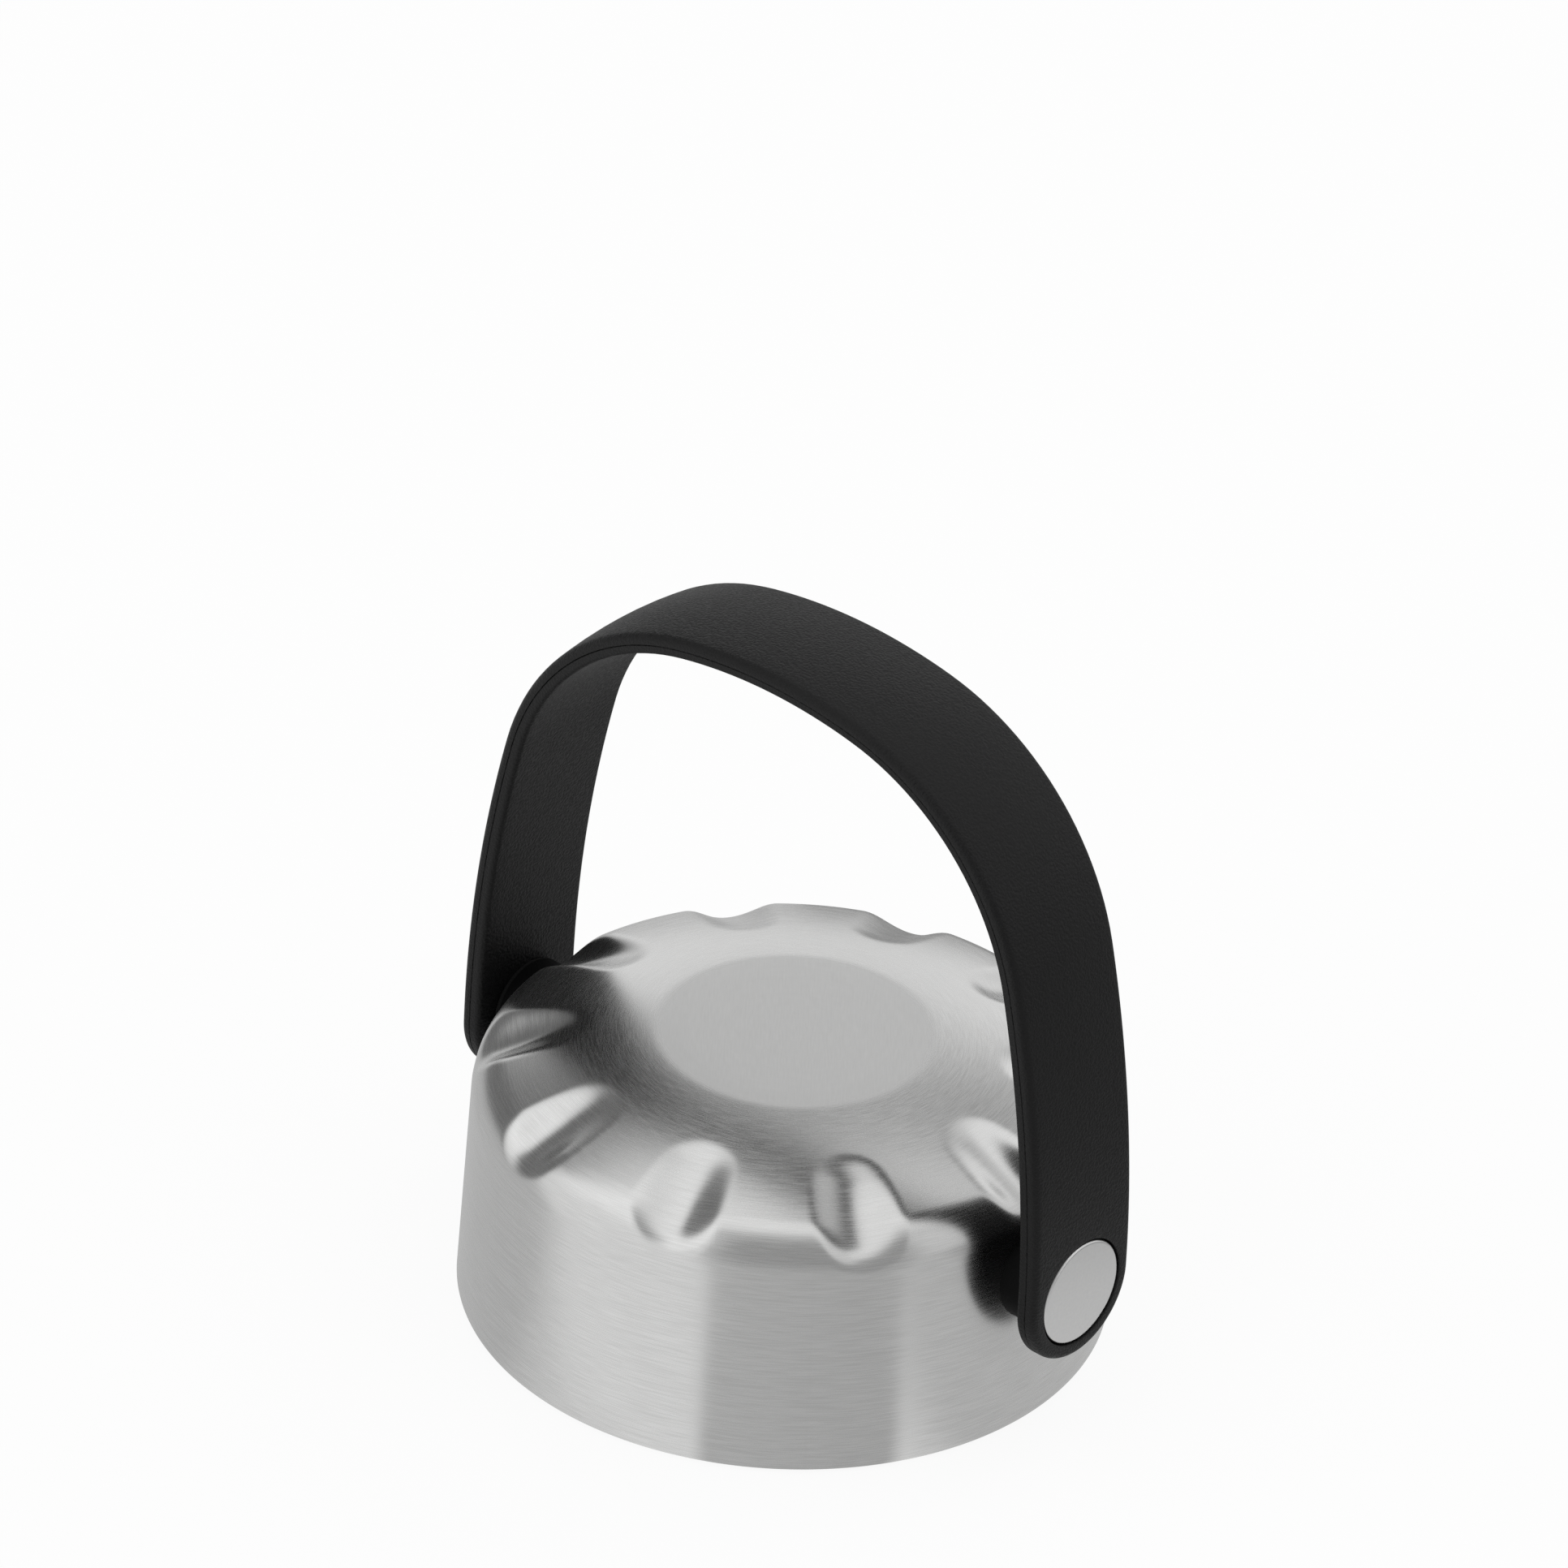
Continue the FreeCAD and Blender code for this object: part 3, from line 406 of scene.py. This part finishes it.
# %% Bore the pivot holes and the seats of the post heads
BORE_RADIUS = 3.05 * MM
SEAT_RADIUS = 5.1 * MM
SEAT_DEPTH = 1.05 * MM
SEAT_BEVEL = 0.1 * MM
THROUGH_STRAP = 6 * LEG_WALL

feet = (HANDLE_HALF, STRAP_LENGTH - HANDLE_HALF)
for foot in feet:
    cut_away(strap, make_rod(BORE_RADIUS, THROUGH_STRAP, (foot, 0, 0), NOTHING))
    cut_away(strap, make_rod(SEAT_RADIUS, 2 * SEAT_DEPTH, (foot, 0, 0), NOTHING))


def on_seat_border(place):
    apart = min(math.hypot(place.x - foot, place.y) for foot in feet)
    return abs(apart - SEAT_RADIUS) < 2 * NEAR and abs(place.z) < NEAR


bpy.ops.object.mode_set(mode="EDIT")
choose(strap, on_seat_border)
bpy.ops.mesh.bevel(offset=SEAT_BEVEL, segments=3, affect="EDGES", clamp_overlap=False)
bpy.ops.object.mode_set(mode="OBJECT")
report_piece(strap)

# %% [markdown]
# A mesh bends only where it has edges, so the bar is cut into short lengths, and also into a few rows
# along its face. The rows let the outer face become round towards the crown, where a hand presses on it.
# The Curve modifier lays the bar's X along the arch. The arch was drawn flat, so the bar is turned to lie
# with it first, and turned back upright afterwards.

# %% Cut the bar, round and thicken its crown, and bend it along the arch
CUT_SPACING = 1.2 * MM
FACE_ROWS = 8
FACE_ROUND = 0.55 * MM


def cut_bar(place, way):
    bpy.ops.mesh.select_all(action="SELECT")
    bpy.ops.mesh.bisect(plane_co=place, plane_no=way)


cuts = int(STRAP_LENGTH / CUT_SPACING)
bpy.ops.object.mode_set(mode="EDIT")
for i in range(1, cuts):
    cut_bar((i * STRAP_LENGTH / cuts, 0, 0), (1, 0, 0))
for i in range(1, FACE_ROWS):
    cut_bar((0, (2 * i / FACE_ROWS - 1) * HANDLE_HALF, 0), ACROSS)
bpy.ops.object.mode_set(mode="OBJECT")


def shape_crown(piece):
    """Towards the crown the strap grows thicker, and its flat outer face becomes round."""
    for vertex in piece.data.vertices:
        rise = 0.5 - 0.5 * math.cos(2 * math.pi * vertex.co.x / STRAP_LENGTH)
        aside = (vertex.co.y / HANDLE_HALF) ** 2
        vertex.co.z += FACE_ROUND * rise * aside * (1 - vertex.co.z / LEG_WALL)
        vertex.co.z *= 1 + (CROWN_WALL / LEG_WALL - 1) * rise


shape_crown(strap)
strap.data.transform(Matrix.Rotation(-math.pi / 2, 4, "X"))
finish_with(strap, "CURVE", object=arch, deform_axis="POS_X")
strap.data.transform(Matrix.Rotation(math.pi / 2, 4, "X"))
bpy.data.objects.remove(arch)
shade(strap, 35)
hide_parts("strap_handle")
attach(strap, "handle")
report_piece(strap)

# %% [markdown]
# The moulded liner inside the cap takes the bottle's neck, so its bore has a thread: one low ridge that
# climbs round the bore a little more than once. Its section is a small four-sided face. The face is pushed
# up and turned about the cap's axis, again and again, and leaves the ridge behind it. Moulded threads fade
# out at both ends, so that they start easily.

# %% Thread ridge in the neck's bore
neck_bore = next(mount for mount in frame["record"]["mounts"] if mount["name"] == "neck_bore")
NECK_RADIUS = neck_bore["dims"]["r_mm"] * MM
THREAD_START = 3.2 * MM
THREAD_PITCH = 3.2 * MM
THREAD_TURNS = 1.25
THREAD_STEPS = 96
THREAD_HEIGHT = 1.0 * MM
THREAD_SUNK = 0.3 * MM
THREAD_BASE = 2.0 * MM
THREAD_CREST = 0.6 * MM

thread_root = NECK_RADIUS + THREAD_SUNK
thread_depth = THREAD_HEIGHT + THREAD_SUNK
flank = (THREAD_BASE - THREAD_CREST) / 2
thread = start_line("neck_thread", (thread_root, 0, THREAD_START - THREAD_BASE / 2))
draw_run((-thread_depth, 0, flank))
draw_run((0, 0, THREAD_CREST))
draw_run((thread_depth, 0, flank))
bpy.ops.mesh.select_all(action="SELECT")
bpy.ops.mesh.edge_face_add()
for _ in range(int(THREAD_TURNS * THREAD_STEPS)):
    draw_run((0, 0, THREAD_PITCH / THREAD_STEPS))
    # With no window a positive turn goes clockwise. A right-hand thread climbs anticlockwise.
    bpy.ops.transform.rotate(value=-2 * math.pi / THREAD_STEPS, orient_axis="Z", center_override=NOTHING)
bpy.ops.mesh.select_all(action="SELECT")
bpy.ops.mesh.normals_make_consistent(inside=False)
bpy.ops.object.mode_set(mode="OBJECT")
print("thread ends at, mm:", [round(side / MM, 2) for side in thread.data.vertices[-1].co])

# %% Fade the thread's ends
FADE_TURNS = 0.1
LEAST_RIDGE = 0.02


def fade_ends(piece):
    """Lets the ridge sink into the bore's wall over its first and last stretch."""
    for vertex in piece.data.vertices:
        turned = math.atan2(vertex.co.y, vertex.co.x) / (2 * math.pi)
        along = turned + round((vertex.co.z - THREAD_START) / THREAD_PITCH - turned)
        from_end = min(along, THREAD_TURNS - along) / FADE_TURNS
        ridge = min(1, max(LEAST_RIDGE, from_end))
        radius = math.hypot(vertex.co.x, vertex.co.y)
        faded = thread_root - (thread_root - radius) * math.sin(ridge * math.pi / 2)
        vertex.co.x *= faded / radius
        vertex.co.y *= faded / radius


fade_ends(thread)
shade(thread, 30)
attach(thread, "lid")
report_piece(thread)

# %% [markdown]
# A finish is a node tree. Written out node by node it is hard to read, so two small classes help. Field
# wraps one socket, and arithmetic on fields adds Math nodes. Finish holds the tree, and its one method
# node makes any other node from its type, its settings and the values or links of its sockets.


# %% Write shader maths as expressions
class Field:
    def __init__(self, finish, socket):
        self.finish = finish
        self.socket = socket

    def __add__(self, other):
        return self.finish.math("ADD", self, other)

    def __sub__(self, other):
        return self.finish.math("SUBTRACT", self, other)

    def __rsub__(self, other):
        return self.finish.math("SUBTRACT", other, self)

    def __mul__(self, other):
        return self.finish.math("MULTIPLY", self, other)

    def __truediv__(self, other):
        return self.finish.math("DIVIDE", self, other)

    __radd__ = __add__
    __rmul__ = __mul__


class Finish:
    def __init__(self, name, kind="materials"):
        self.owner = getattr(bpy.data, kind).new(name)
        self.owner.use_nodes = True
        self.tree = self.owner.node_tree
        self.tree.nodes.clear()

    def node(self, kind, settings=None, sockets=None, output=0):
        made = self.tree.nodes.new(kind)
        for name, value in (settings or {}).items():
            setattr(made, name, value)
        for name, value in (sockets or {}).items():
            if isinstance(value, Field):
                self.tree.links.new(value.socket, made.inputs[name])
            else:
                made.inputs[name].default_value = value
        return Field(self, made.outputs[output]) if len(made.outputs) else None

    def math(self, operation, first, second=0.0):
        return self.node("ShaderNodeMath", {"operation": operation}, {0: first, 1: second})

    def split(self, vector):
        return [self.node("ShaderNodeSeparateXYZ", sockets={0: vector}, output=i) for i in range(3)]

    def place(self):
        """The piece's own x, y and z, in millimetres."""
        return [part / MM for part in self.split(self.node("ShaderNodeTexCoord", output="Object"))]

    def grain(self, x, y, z, scale, detail=2.0):
        vector = self.node("ShaderNodeCombineXYZ", sockets={0: x, 1: y, 2: z})
        return self.node("ShaderNodeTexNoise", sockets={"Vector": vector, "Scale": scale, "Detail": detail})

    def bearing(self, aside, ahead):
        """The angle of a direction, in degrees, from the one that points straight ahead."""
        return self.math("ARCTAN2", aside, ahead) * math.degrees(1)

    def step(self, value, low, high):
        limits = {"Value": value, "From Min": low, "From Max": high}
        return self.node("ShaderNodeMapRange", {"interpolation_type": "SMOOTHSTEP"}, limits)

    def blend(self, mask, first, second):
        """A mix of two colours. A Mix node has its colour sockets at 6 and 7."""
        sockets = {"Factor": mask, 6: first, 7: second}
        return self.node("ShaderNodeMix", {"data_type": "RGBA"}, sockets, output=2)

    def close(self, height, sockets):
        """The shader itself, with its sockets by name. height is a bump in millimetres."""
        bump = self.node("ShaderNodeBump", sockets={"Distance": MM, "Height": height})
        shader = self.node("ShaderNodeBsdfPrincipled", sockets={"Normal": bump, **sockets})
        self.node("ShaderNodeOutputMaterial", sockets={"Surface": shader})
        return self.owner


def paint(material, *pieces):
    for piece in pieces:
        piece.data.materials.clear()
        piece.data.materials.append(material)


# %% [markdown]
# The steel is brushed while it turns, so its scratches run round the cap. Stretched noise gives them: it
# reads the direction from the axis, which changes slowly along a scratch, and the distance down the
# outline, which changes fast across it. The flat disc is brushed straight. Such scratches spread a
# reflection across themselves, and that is what Anisotropic does.


# %% Brushed steel
STEEL_DARK = (0.56, 0.56, 0.555, 1)
STEEL_LIGHT = (0.67, 0.67, 0.665, 1)
SCRATCH_HEIGHT = 0.0008
SCRATCH_ROUGH = 0.05
CONTRAST = (0.3, 0.7)
SIDE_GRAIN = (9, 11)
CLOUD_GRAIN = (3, 1.6)
CLOUD_SHARE = 0.25
SIDE_ROUGH = 0.24
DISC_GRAIN = (7, 0.5)
DISC_BRUSH = math.radians(40)
DISC_ROUGH = 0.27
DISC_BORDER = 0.9


def steel_shader(steel, streak, mottle, rough, **more):
    """Polished metal whose tone, gloss and height all follow the same scratches."""
    bump = steel.node("ShaderNodeBump", sockets={"Distance": MM, "Height": streak * SCRATCH_HEIGHT})
    tone = streak * (1 - CLOUD_SHARE) + mottle * CLOUD_SHARE
    return steel.node("ShaderNodeBsdfPrincipled", sockets={
        "Base Color": steel.blend(tone, STEEL_DARK, STEEL_LIGHT),
        "Metallic": 1.0,
        "Roughness": streak * SCRATCH_ROUGH + rough,
        "Normal": bump,
        **more,
    })


def make_brushed_steel():
    steel = Finish("brushed_steel")
    x, y, z = steel.place()
    radius = steel.math("SQRT", x * x + y * y) + 0.001
    down = radius - z
    round_x, round_y = x / radius, y / radius

    def round_grain(grain, detail):
        """Noise that is stretched round the cap: how fine it is round it, and how fine down its outline."""
        return steel.grain(round_x * grain[0], round_y * grain[0], down * grain[1], 1.0, detail)

    turned = steel.step(round_grain(SIDE_GRAIN, 3.0), *CONTRAST)
    mottle = round_grain(CLOUD_GRAIN, 2.0)
    across = x * math.cos(DISC_BRUSH) + y * math.sin(DISC_BRUSH)
    along = y * math.cos(DISC_BRUSH) - x * math.sin(DISC_BRUSH)
    straight = steel.grain(across * DISC_GRAIN[0], along * DISC_GRAIN[1], z * 0, 1.0, 3.0)
    edge = DISC_RADIUS / MM
    disc = 1 - steel.step(radius, edge - DISC_BORDER, edge + DISC_BORDER)
    spread = {"Anisotropic": 0.6, "Anisotropic Rotation": 0.25}
    side = steel_shader(steel, turned, mottle, SIDE_ROUGH, **spread)
    middle = steel_shader(steel, straight, mottle, DISC_ROUGH)
    mixed = steel.node("ShaderNodeMixShader", sockets={0: disc, 1: side, 2: middle})
    steel.node("ShaderNodeOutputMaterial", sockets={"Surface": mixed})
    return steel.owner


steel = make_brushed_steel()
paint(steel, cap_shell)
print(steel.name, "nodes:", len(steel.node_tree.nodes))

# %% [markdown]
# The strap comes from a mould that was etched to a fine grain, so it has almost no gloss of its own and
# shows a speckle where light grazes it. One noise gives the grain its tone, its gloss and its height. A
# much larger noise makes the black a little uneven, as moulded plastic is.

# %% Moulded black of the strap
STRAP_DARK = (0.001, 0.001, 0.0011, 1)
STRAP_LIGHT = (0.004, 0.004, 0.0042, 1)
STRAP_GRAIN = 4.0
STRAP_GRAIN_HEIGHT = 0.04
STRAP_GRAIN_ROUGH = 0.12
STRAP_CLOUDS = 0.25
STRAP_CLOUD_SHARE = 0.3
STRAP_ROUGH = 0.45
STRAP_GLOSS = 0.28


def make_strap_plastic():
    plastic = Finish("strap_plastic")
    x, y, z = plastic.place()
    grain = plastic.step(plastic.grain(x, y, z, STRAP_GRAIN, 3.0), *CONTRAST)
    cloud = plastic.grain(x, y, z, STRAP_CLOUDS, 2.0)
    tone = grain * (1 - STRAP_CLOUD_SHARE) + cloud * STRAP_CLOUD_SHARE
    return plastic.close(grain * STRAP_GRAIN_HEIGHT, {
        "Base Color": plastic.blend(tone, STRAP_DARK, STRAP_LIGHT),
        "Roughness": grain * STRAP_GRAIN_ROUGH + STRAP_ROUGH,
        "Specular IOR Level": STRAP_GLOSS,
    })


black = make_strap_plastic()
paint(black, strap)
print(black.name, "nodes:", len(black.node_tree.nodes))

# %% [markdown]
# The small parts are seen only in part, and most are inside. They are of two kinds, satin steel and moulded
# plastic, so two functions make all their finishes, and only the tone, the roughness and the gloss differ.

# %% Plain finishes of the small parts
SATIN_GRAIN = 3.0
SATIN_HEIGHT = 0.002
SATIN_ROUGH = 0.08
MOULD_GRAIN = 4.0
MOULD_HEIGHT = 0.01
MOULD_ROUGH = 0.1


def grey(tone, share=1.0, blue=1.0):
    """A share of a grey tone. Its blue may be a little more or less than that."""
    return (tone * share, tone * share, tone * blue, 1)


def make_satin_steel(name, tone, rough):
    steel = Finish(name)
    x, y, z = steel.place()
    grain = steel.grain(x, y, z, SATIN_GRAIN, 3.0)
    return steel.close(grain * SATIN_HEIGHT, {
        "Base Color": steel.blend(grain, grey(tone), grey(tone, 1.15, 1.14)),
        "Metallic": 1.0,
        "Roughness": grain * SATIN_ROUGH + rough,
    })


def make_moulded(name, tone, rough, gloss=0.5):
    plastic = Finish(name)
    x, y, z = plastic.place()
    grain = plastic.grain(x, y, z, MOULD_GRAIN, 2.0)
    return plastic.close(grain * MOULD_HEIGHT, {
        "Base Color": plastic.blend(grain, grey(tone, 0.85, 0.86), grey(tone)),
        "Roughness": grain * MOULD_ROUGH + rough,
        "Specular IOR Level": gloss,
    })


def both(name):
    return [frame["nodes"][name + side] for side in ("_right", "_left")]


paint(make_satin_steel("post_steel", 0.66, 0.28), *both("pivot_post"))
paint(make_satin_steel("plate_steel", 0.5, 0.4), *both("backing_plate"))
paint(make_satin_steel("screw_steel", 0.45, 0.35), *both("post_screw"))
# The saddle's near-black tone is partly its black plastic and partly painted shade of the dark gap under the
# strap's foot.
paint(make_moulded("saddle_plastic", 0.004, 0.5, gloss=0.08), *both("pivot_saddle"))
paint(make_moulded("washer_plastic", 0.012, 0.45, gloss=0.2), *both("friction_washer"))
paint(make_moulded("liner_plastic", 0.035, 0.45), frame["nodes"]["inner_liner"], thread)
paint(make_moulded("gasket_silicone", 0.7, 0.6), frame["nodes"]["sealing_gasket"])
print("materials:", len(bpy.data.materials))

# %% [markdown]
# The camera stands where the picture was taken from, about a metre away, and looks down at the lid. The
# place of the lid in the picture is fixed by one pair of numbers: where the middle of its base is seen.

# %% Camera
PICTURE = 1932
FOCAL_PIXELS = 13334
CAMERA_AWAY = 0.9683
CAMERA_ROUND = math.radians(39.55)
CAMERA_RISE = math.radians(34.43)
CAMERA_ROLL = math.radians(3.01)
BASE_SEEN_AT = (964.2, 1581.7)
SENSOR = 36

camera_way = Vector((
    math.cos(CAMERA_RISE) * math.sin(CAMERA_ROUND),
    -math.cos(CAMERA_RISE) * math.cos(CAMERA_ROUND),
    math.sin(CAMERA_RISE),
))
camera_right = Vector((math.cos(CAMERA_ROUND), math.sin(CAMERA_ROUND), 0))
camera_up = camera_way.cross(camera_right)
looking = Matrix((camera_right, camera_up, camera_way)).transposed() @ Matrix.Rotation(CAMERA_ROLL, 3, "Z")
base_ray = Vector((BASE_SEEN_AT[0] - PICTURE / 2, PICTURE / 2 - BASE_SEEN_AT[1], -FOCAL_PIXELS))
aside_turn = base_ray.rotation_difference(Vector((0, 0, -1))).to_matrix()

bpy.ops.object.camera_add()
camera = bpy.context.object
camera.name = "camera"
camera.matrix_world = Matrix.Translation(CAMERA_AWAY * camera_way) @ (looking @ aside_turn).to_4x4()
camera.data.sensor_width = SENSOR
camera.data.lens = FOCAL_PIXELS / PICTURE * SENSOR
camera.data.clip_start = 0.01
camera.data.clip_end = 20
bpy.context.scene.camera = camera
print("lens, mm:", round(camera.data.lens, 1))

# %% [markdown]
# Steel shows what is round it more than it shows its own colour, so the studio is built for its
# reflections. The wall of the cap mirrors the floor, the flat disc mirrors the sky low behind the lid, and
# the round shoulder mirrors a whole band of sky on the camera's side.

# %% Directions in the studio
toward_camera = Vector((math.sin(CAMERA_ROUND), -math.cos(CAMERA_ROUND)))
to_the_right = Vector((math.cos(CAMERA_ROUND), math.sin(CAMERA_ROUND)))


def studio_axes(finish, x, y):
    """How far forward, towards the camera, and how far right a place or a direction is."""
    forward = x * toward_camera.x + y * toward_camera.y
    right = x * to_the_right.x + y * to_the_right.y
    return forward, right


print("towards the camera:", [round(side, 3) for side in toward_camera])

# %% [markdown]
# The floor is a plain white plane. For the camera and for reflections most of it is a glow of its own, so
# that it stays white, and the rest takes the lid's soft shadow. In the steel it is dimmer at the left, at
# the right and in a wedge in front of the lid, as if grey cards lay on it there. A point of the round wall
# that is turned by some angle from the front mirrors the floor in the direction of twice that angle. So an
# upright border in the wall comes from a straight line on the floor, which starts at the wall and runs off
# in that direction. The angles are in degrees and the distances in millimetres.

# %% Floor
FLOOR_SIZE = 8
FLOOR_WHITE = 1.03
FLOOR_SHADOW = 0.12
WEDGE_LEFT = math.radians(13)
WEDGE_RIGHT = math.radians(21.5)
WEDGE_SOFT = 1.2
WEDGE_DIM = 0.38
WEDGE_DIM_MORE = 0.07
WEDGE_MORE_AT = (-20, 30)
LEFT_TURN = math.radians(45)
LEFT_SOFT = 8
LEFT_DIM = 0.38
RIGHT_DIM = 0.34
RIGHT_DIM_AT = (20, 40)
RIGHT_FAR_DIM = 0.16
RIGHT_FAR_AT = (85, 110)
BEHIND_AT = (110, 175)
AWAY_DIM = 0.42
AWAY_AT = (45, 65)
AWAY_START = (50, 80)
RAYS = ("Is Camera Ray", "Is Glossy Ray", "Is Transmission Ray")


def before_mirror_line(finish, forward, sideways, turn, soft):
    """1 on the camera's side of the floor line that the wall mirrors as an upright one at this turn."""
    start = CAP_RADIUS / MM * math.sin(turn)
    aside = forward * math.sin(2 * turn) - sideways * math.cos(2 * turn)
    return finish.step(aside, start - soft, start + soft)


def mirrored_dimness(floor):
    """How much less than white the steel sees the floor, by where it lies round the lid."""
    x, y, z = floor.place()
    forward, right = studio_axes(floor, x, y)
    left = right * -1
    bearing = floor.bearing(right, forward)
    in_wedge = before_mirror_line(floor, forward, left, WEDGE_LEFT, WEDGE_SOFT)
    before_right = before_mirror_line(floor, forward, right, WEDGE_RIGHT, WEDGE_SOFT)
    wedge_dim = floor.step(bearing, *WEDGE_MORE_AT) * WEDGE_DIM_MORE + WEDGE_DIM
    wedge = in_wedge * before_right * wedge_dim
    past_left = 1 - before_mirror_line(floor, forward, left, LEFT_TURN, LEFT_SOFT)
    left_dim = past_left * floor.math("GREATER_THAN", left) * LEFT_DIM
    far_right = floor.step(bearing, *RIGHT_FAR_AT) * (RIGHT_FAR_DIM - RIGHT_DIM)
    behind = floor.step(bearing, *BEHIND_AT) * (LEFT_DIM - RIGHT_FAR_DIM)
    past_right = (1 - before_right) * floor.step(bearing, *RIGHT_DIM_AT)
    right_dim = past_right * (far_right + behind + RIGHT_DIM)
    distance = floor.math("SQRT", forward * forward + right * right)
    away = floor.step(distance, *AWAY_START) * floor.step(bearing, *AWAY_AT) * AWAY_DIM
    return wedge + left_dim + right_dim + away


def make_floor_white():
    floor = Finish("floor_white")
    camera_ray, glossy_ray, clear_ray = [floor.node("ShaderNodeLightPath", output=name) for name in RAYS]
    bright = (1 - mirrored_dimness(floor) * glossy_ray) * FLOOR_WHITE
    glow = floor.node("ShaderNodeEmission", sockets={"Color": (1, 1, 1, 1), "Strength": bright})
    plain_sockets = {"Base Color": (0.8, 0.8, 0.8, 1), "Roughness": 1.0}
    plain = floor.node("ShaderNodeBsdfPrincipled", sockets=plain_sockets)
    seen = (camera_ray + glossy_ray + clear_ray) * (1 - FLOOR_SHADOW)
    mixed = floor.node("ShaderNodeMixShader", sockets={0: seen, 1: plain, 2: glow})
    floor.node("ShaderNodeOutputMaterial", sockets={"Surface": mixed})
    return floor.owner


bpy.ops.object.select_all(action="DESELECT")
bpy.ops.mesh.primitive_plane_add(size=FLOOR_SIZE)
floor = bpy.context.object
floor.name = "floor"
paint(make_floor_white(), floor)
print("floor of", FLOOR_SIZE, "m, nodes:", len(floor.data.materials[0].node_tree.nodes))

# %% [markdown]
# The sky holds a wide soft box overhead, a bright backdrop behind the lid, a bright card at the left and a
# less bright one at the right, a dark corner at the back left and a thin darker horizon. Two angles say
# where a direction lies: over runs from the horizon on the camera's side, over the top, to the horizon
# behind the lid, and bearing runs round the lid from the camera, both in degrees. Each border is a smooth
# step between two angles.

# %% Sky
SKY_PLAIN = 0.42
SOFT_BOX = 0.75
BOX_START, BOX_END = (56, 80), (112, 132)
BACKDROP = 0.68
BACKDROP_START = (134, 160)
HORIZON = 0.35
HORIZON_END = (0.02, 0.12)
CARD_TOP = (0.7, 0.9)
LEFT_CARD = 1.0
LEFT_START, LEFT_END = (20, 32), (90, 115)
DARK_CORNER = 0.2
CORNER_END = (148, 165)
RIGHT_CARD = 0.85
RIGHT_START, RIGHT_END = (38, 50), (130, 150)


def lay(level, mask, card):
    """Lays a card of its own brightness over the sky, where the mask is 1."""
    return level + mask * (card - level)


def between(sky, angle, start, end):
    return sky.step(angle, *start) * (1 - sky.step(angle, *end))


def make_sky():
    sky = Finish("studio", "worlds")
    # In a world's nodes the first texture coordinate is the direction that is looked in.
    x, y, up = sky.split(sky.node("ShaderNodeTexCoord", output=0))
    forward, right = studio_axes(sky, x, y)
    over = sky.bearing(up, forward)
    bearing = sky.bearing(right, forward)
    leftward = bearing * -1
    low = 1 - sky.step(up, *CARD_TOP)
    box = between(sky, over, BOX_START, BOX_END)
    level = box * SOFT_BOX + sky.step(over, *BACKDROP_START) * BACKDROP + SKY_PLAIN
    level = lay(level, 1 - sky.step(up, *HORIZON_END), HORIZON)
    level = lay(level, between(sky, leftward, LEFT_START, LEFT_END) * low, LEFT_CARD)
    level = lay(level, between(sky, leftward, LEFT_END, CORNER_END) * low, DARK_CORNER)
    level = lay(level, between(sky, bearing, RIGHT_START, RIGHT_END) * low, RIGHT_CARD)
    background = sky.node("ShaderNodeBackground", sockets={"Color": level, "Strength": 1.0})
    sky.node("ShaderNodeOutputWorld", sockets={"Surface": background})
    bpy.context.scene.world = sky.owner


make_sky()
print("sky nodes:", len(bpy.context.scene.world.node_tree.nodes))

# %% [markdown]
# The sky and the white floor give nearly all the light. One large weak lamp at the left adds a soft
# direction to it, so that the dull strap has a lighter side.


# %% Lamp
def hang_lamp(name, round_about, rise, away, width, height, power):
    """A soft square lamp, placed by its bearing from the camera's, to the right, and its rise."""
    heading = CAMERA_ROUND + math.radians(round_about)
    lift = math.radians(rise)
    way = Vector((math.cos(lift) * math.sin(heading), -math.cos(lift) * math.cos(heading), math.sin(lift)))
    bpy.ops.object.light_add(type="AREA", location=away * way)
    lamp = bpy.context.object
    lamp.name = name
    lamp.rotation_euler = way.to_track_quat("Z", "Y").to_euler()
    lamp.data.shape = "RECTANGLE"
    lamp.data.size = width
    lamp.data.size_y = height
    lamp.data.energy = power
    return lamp


lamp = hang_lamp("lamp_left", round_about=-70, rise=42, away=1.2, width=0.9, height=0.7, power=0.4)
print(lamp.name, "at, m:", [round(side, 2) for side in lamp.location])

# %% [markdown]
# The Standard view shows each colour about as it is written.

bpy.context.scene.view_settings.view_transform = "Standard"
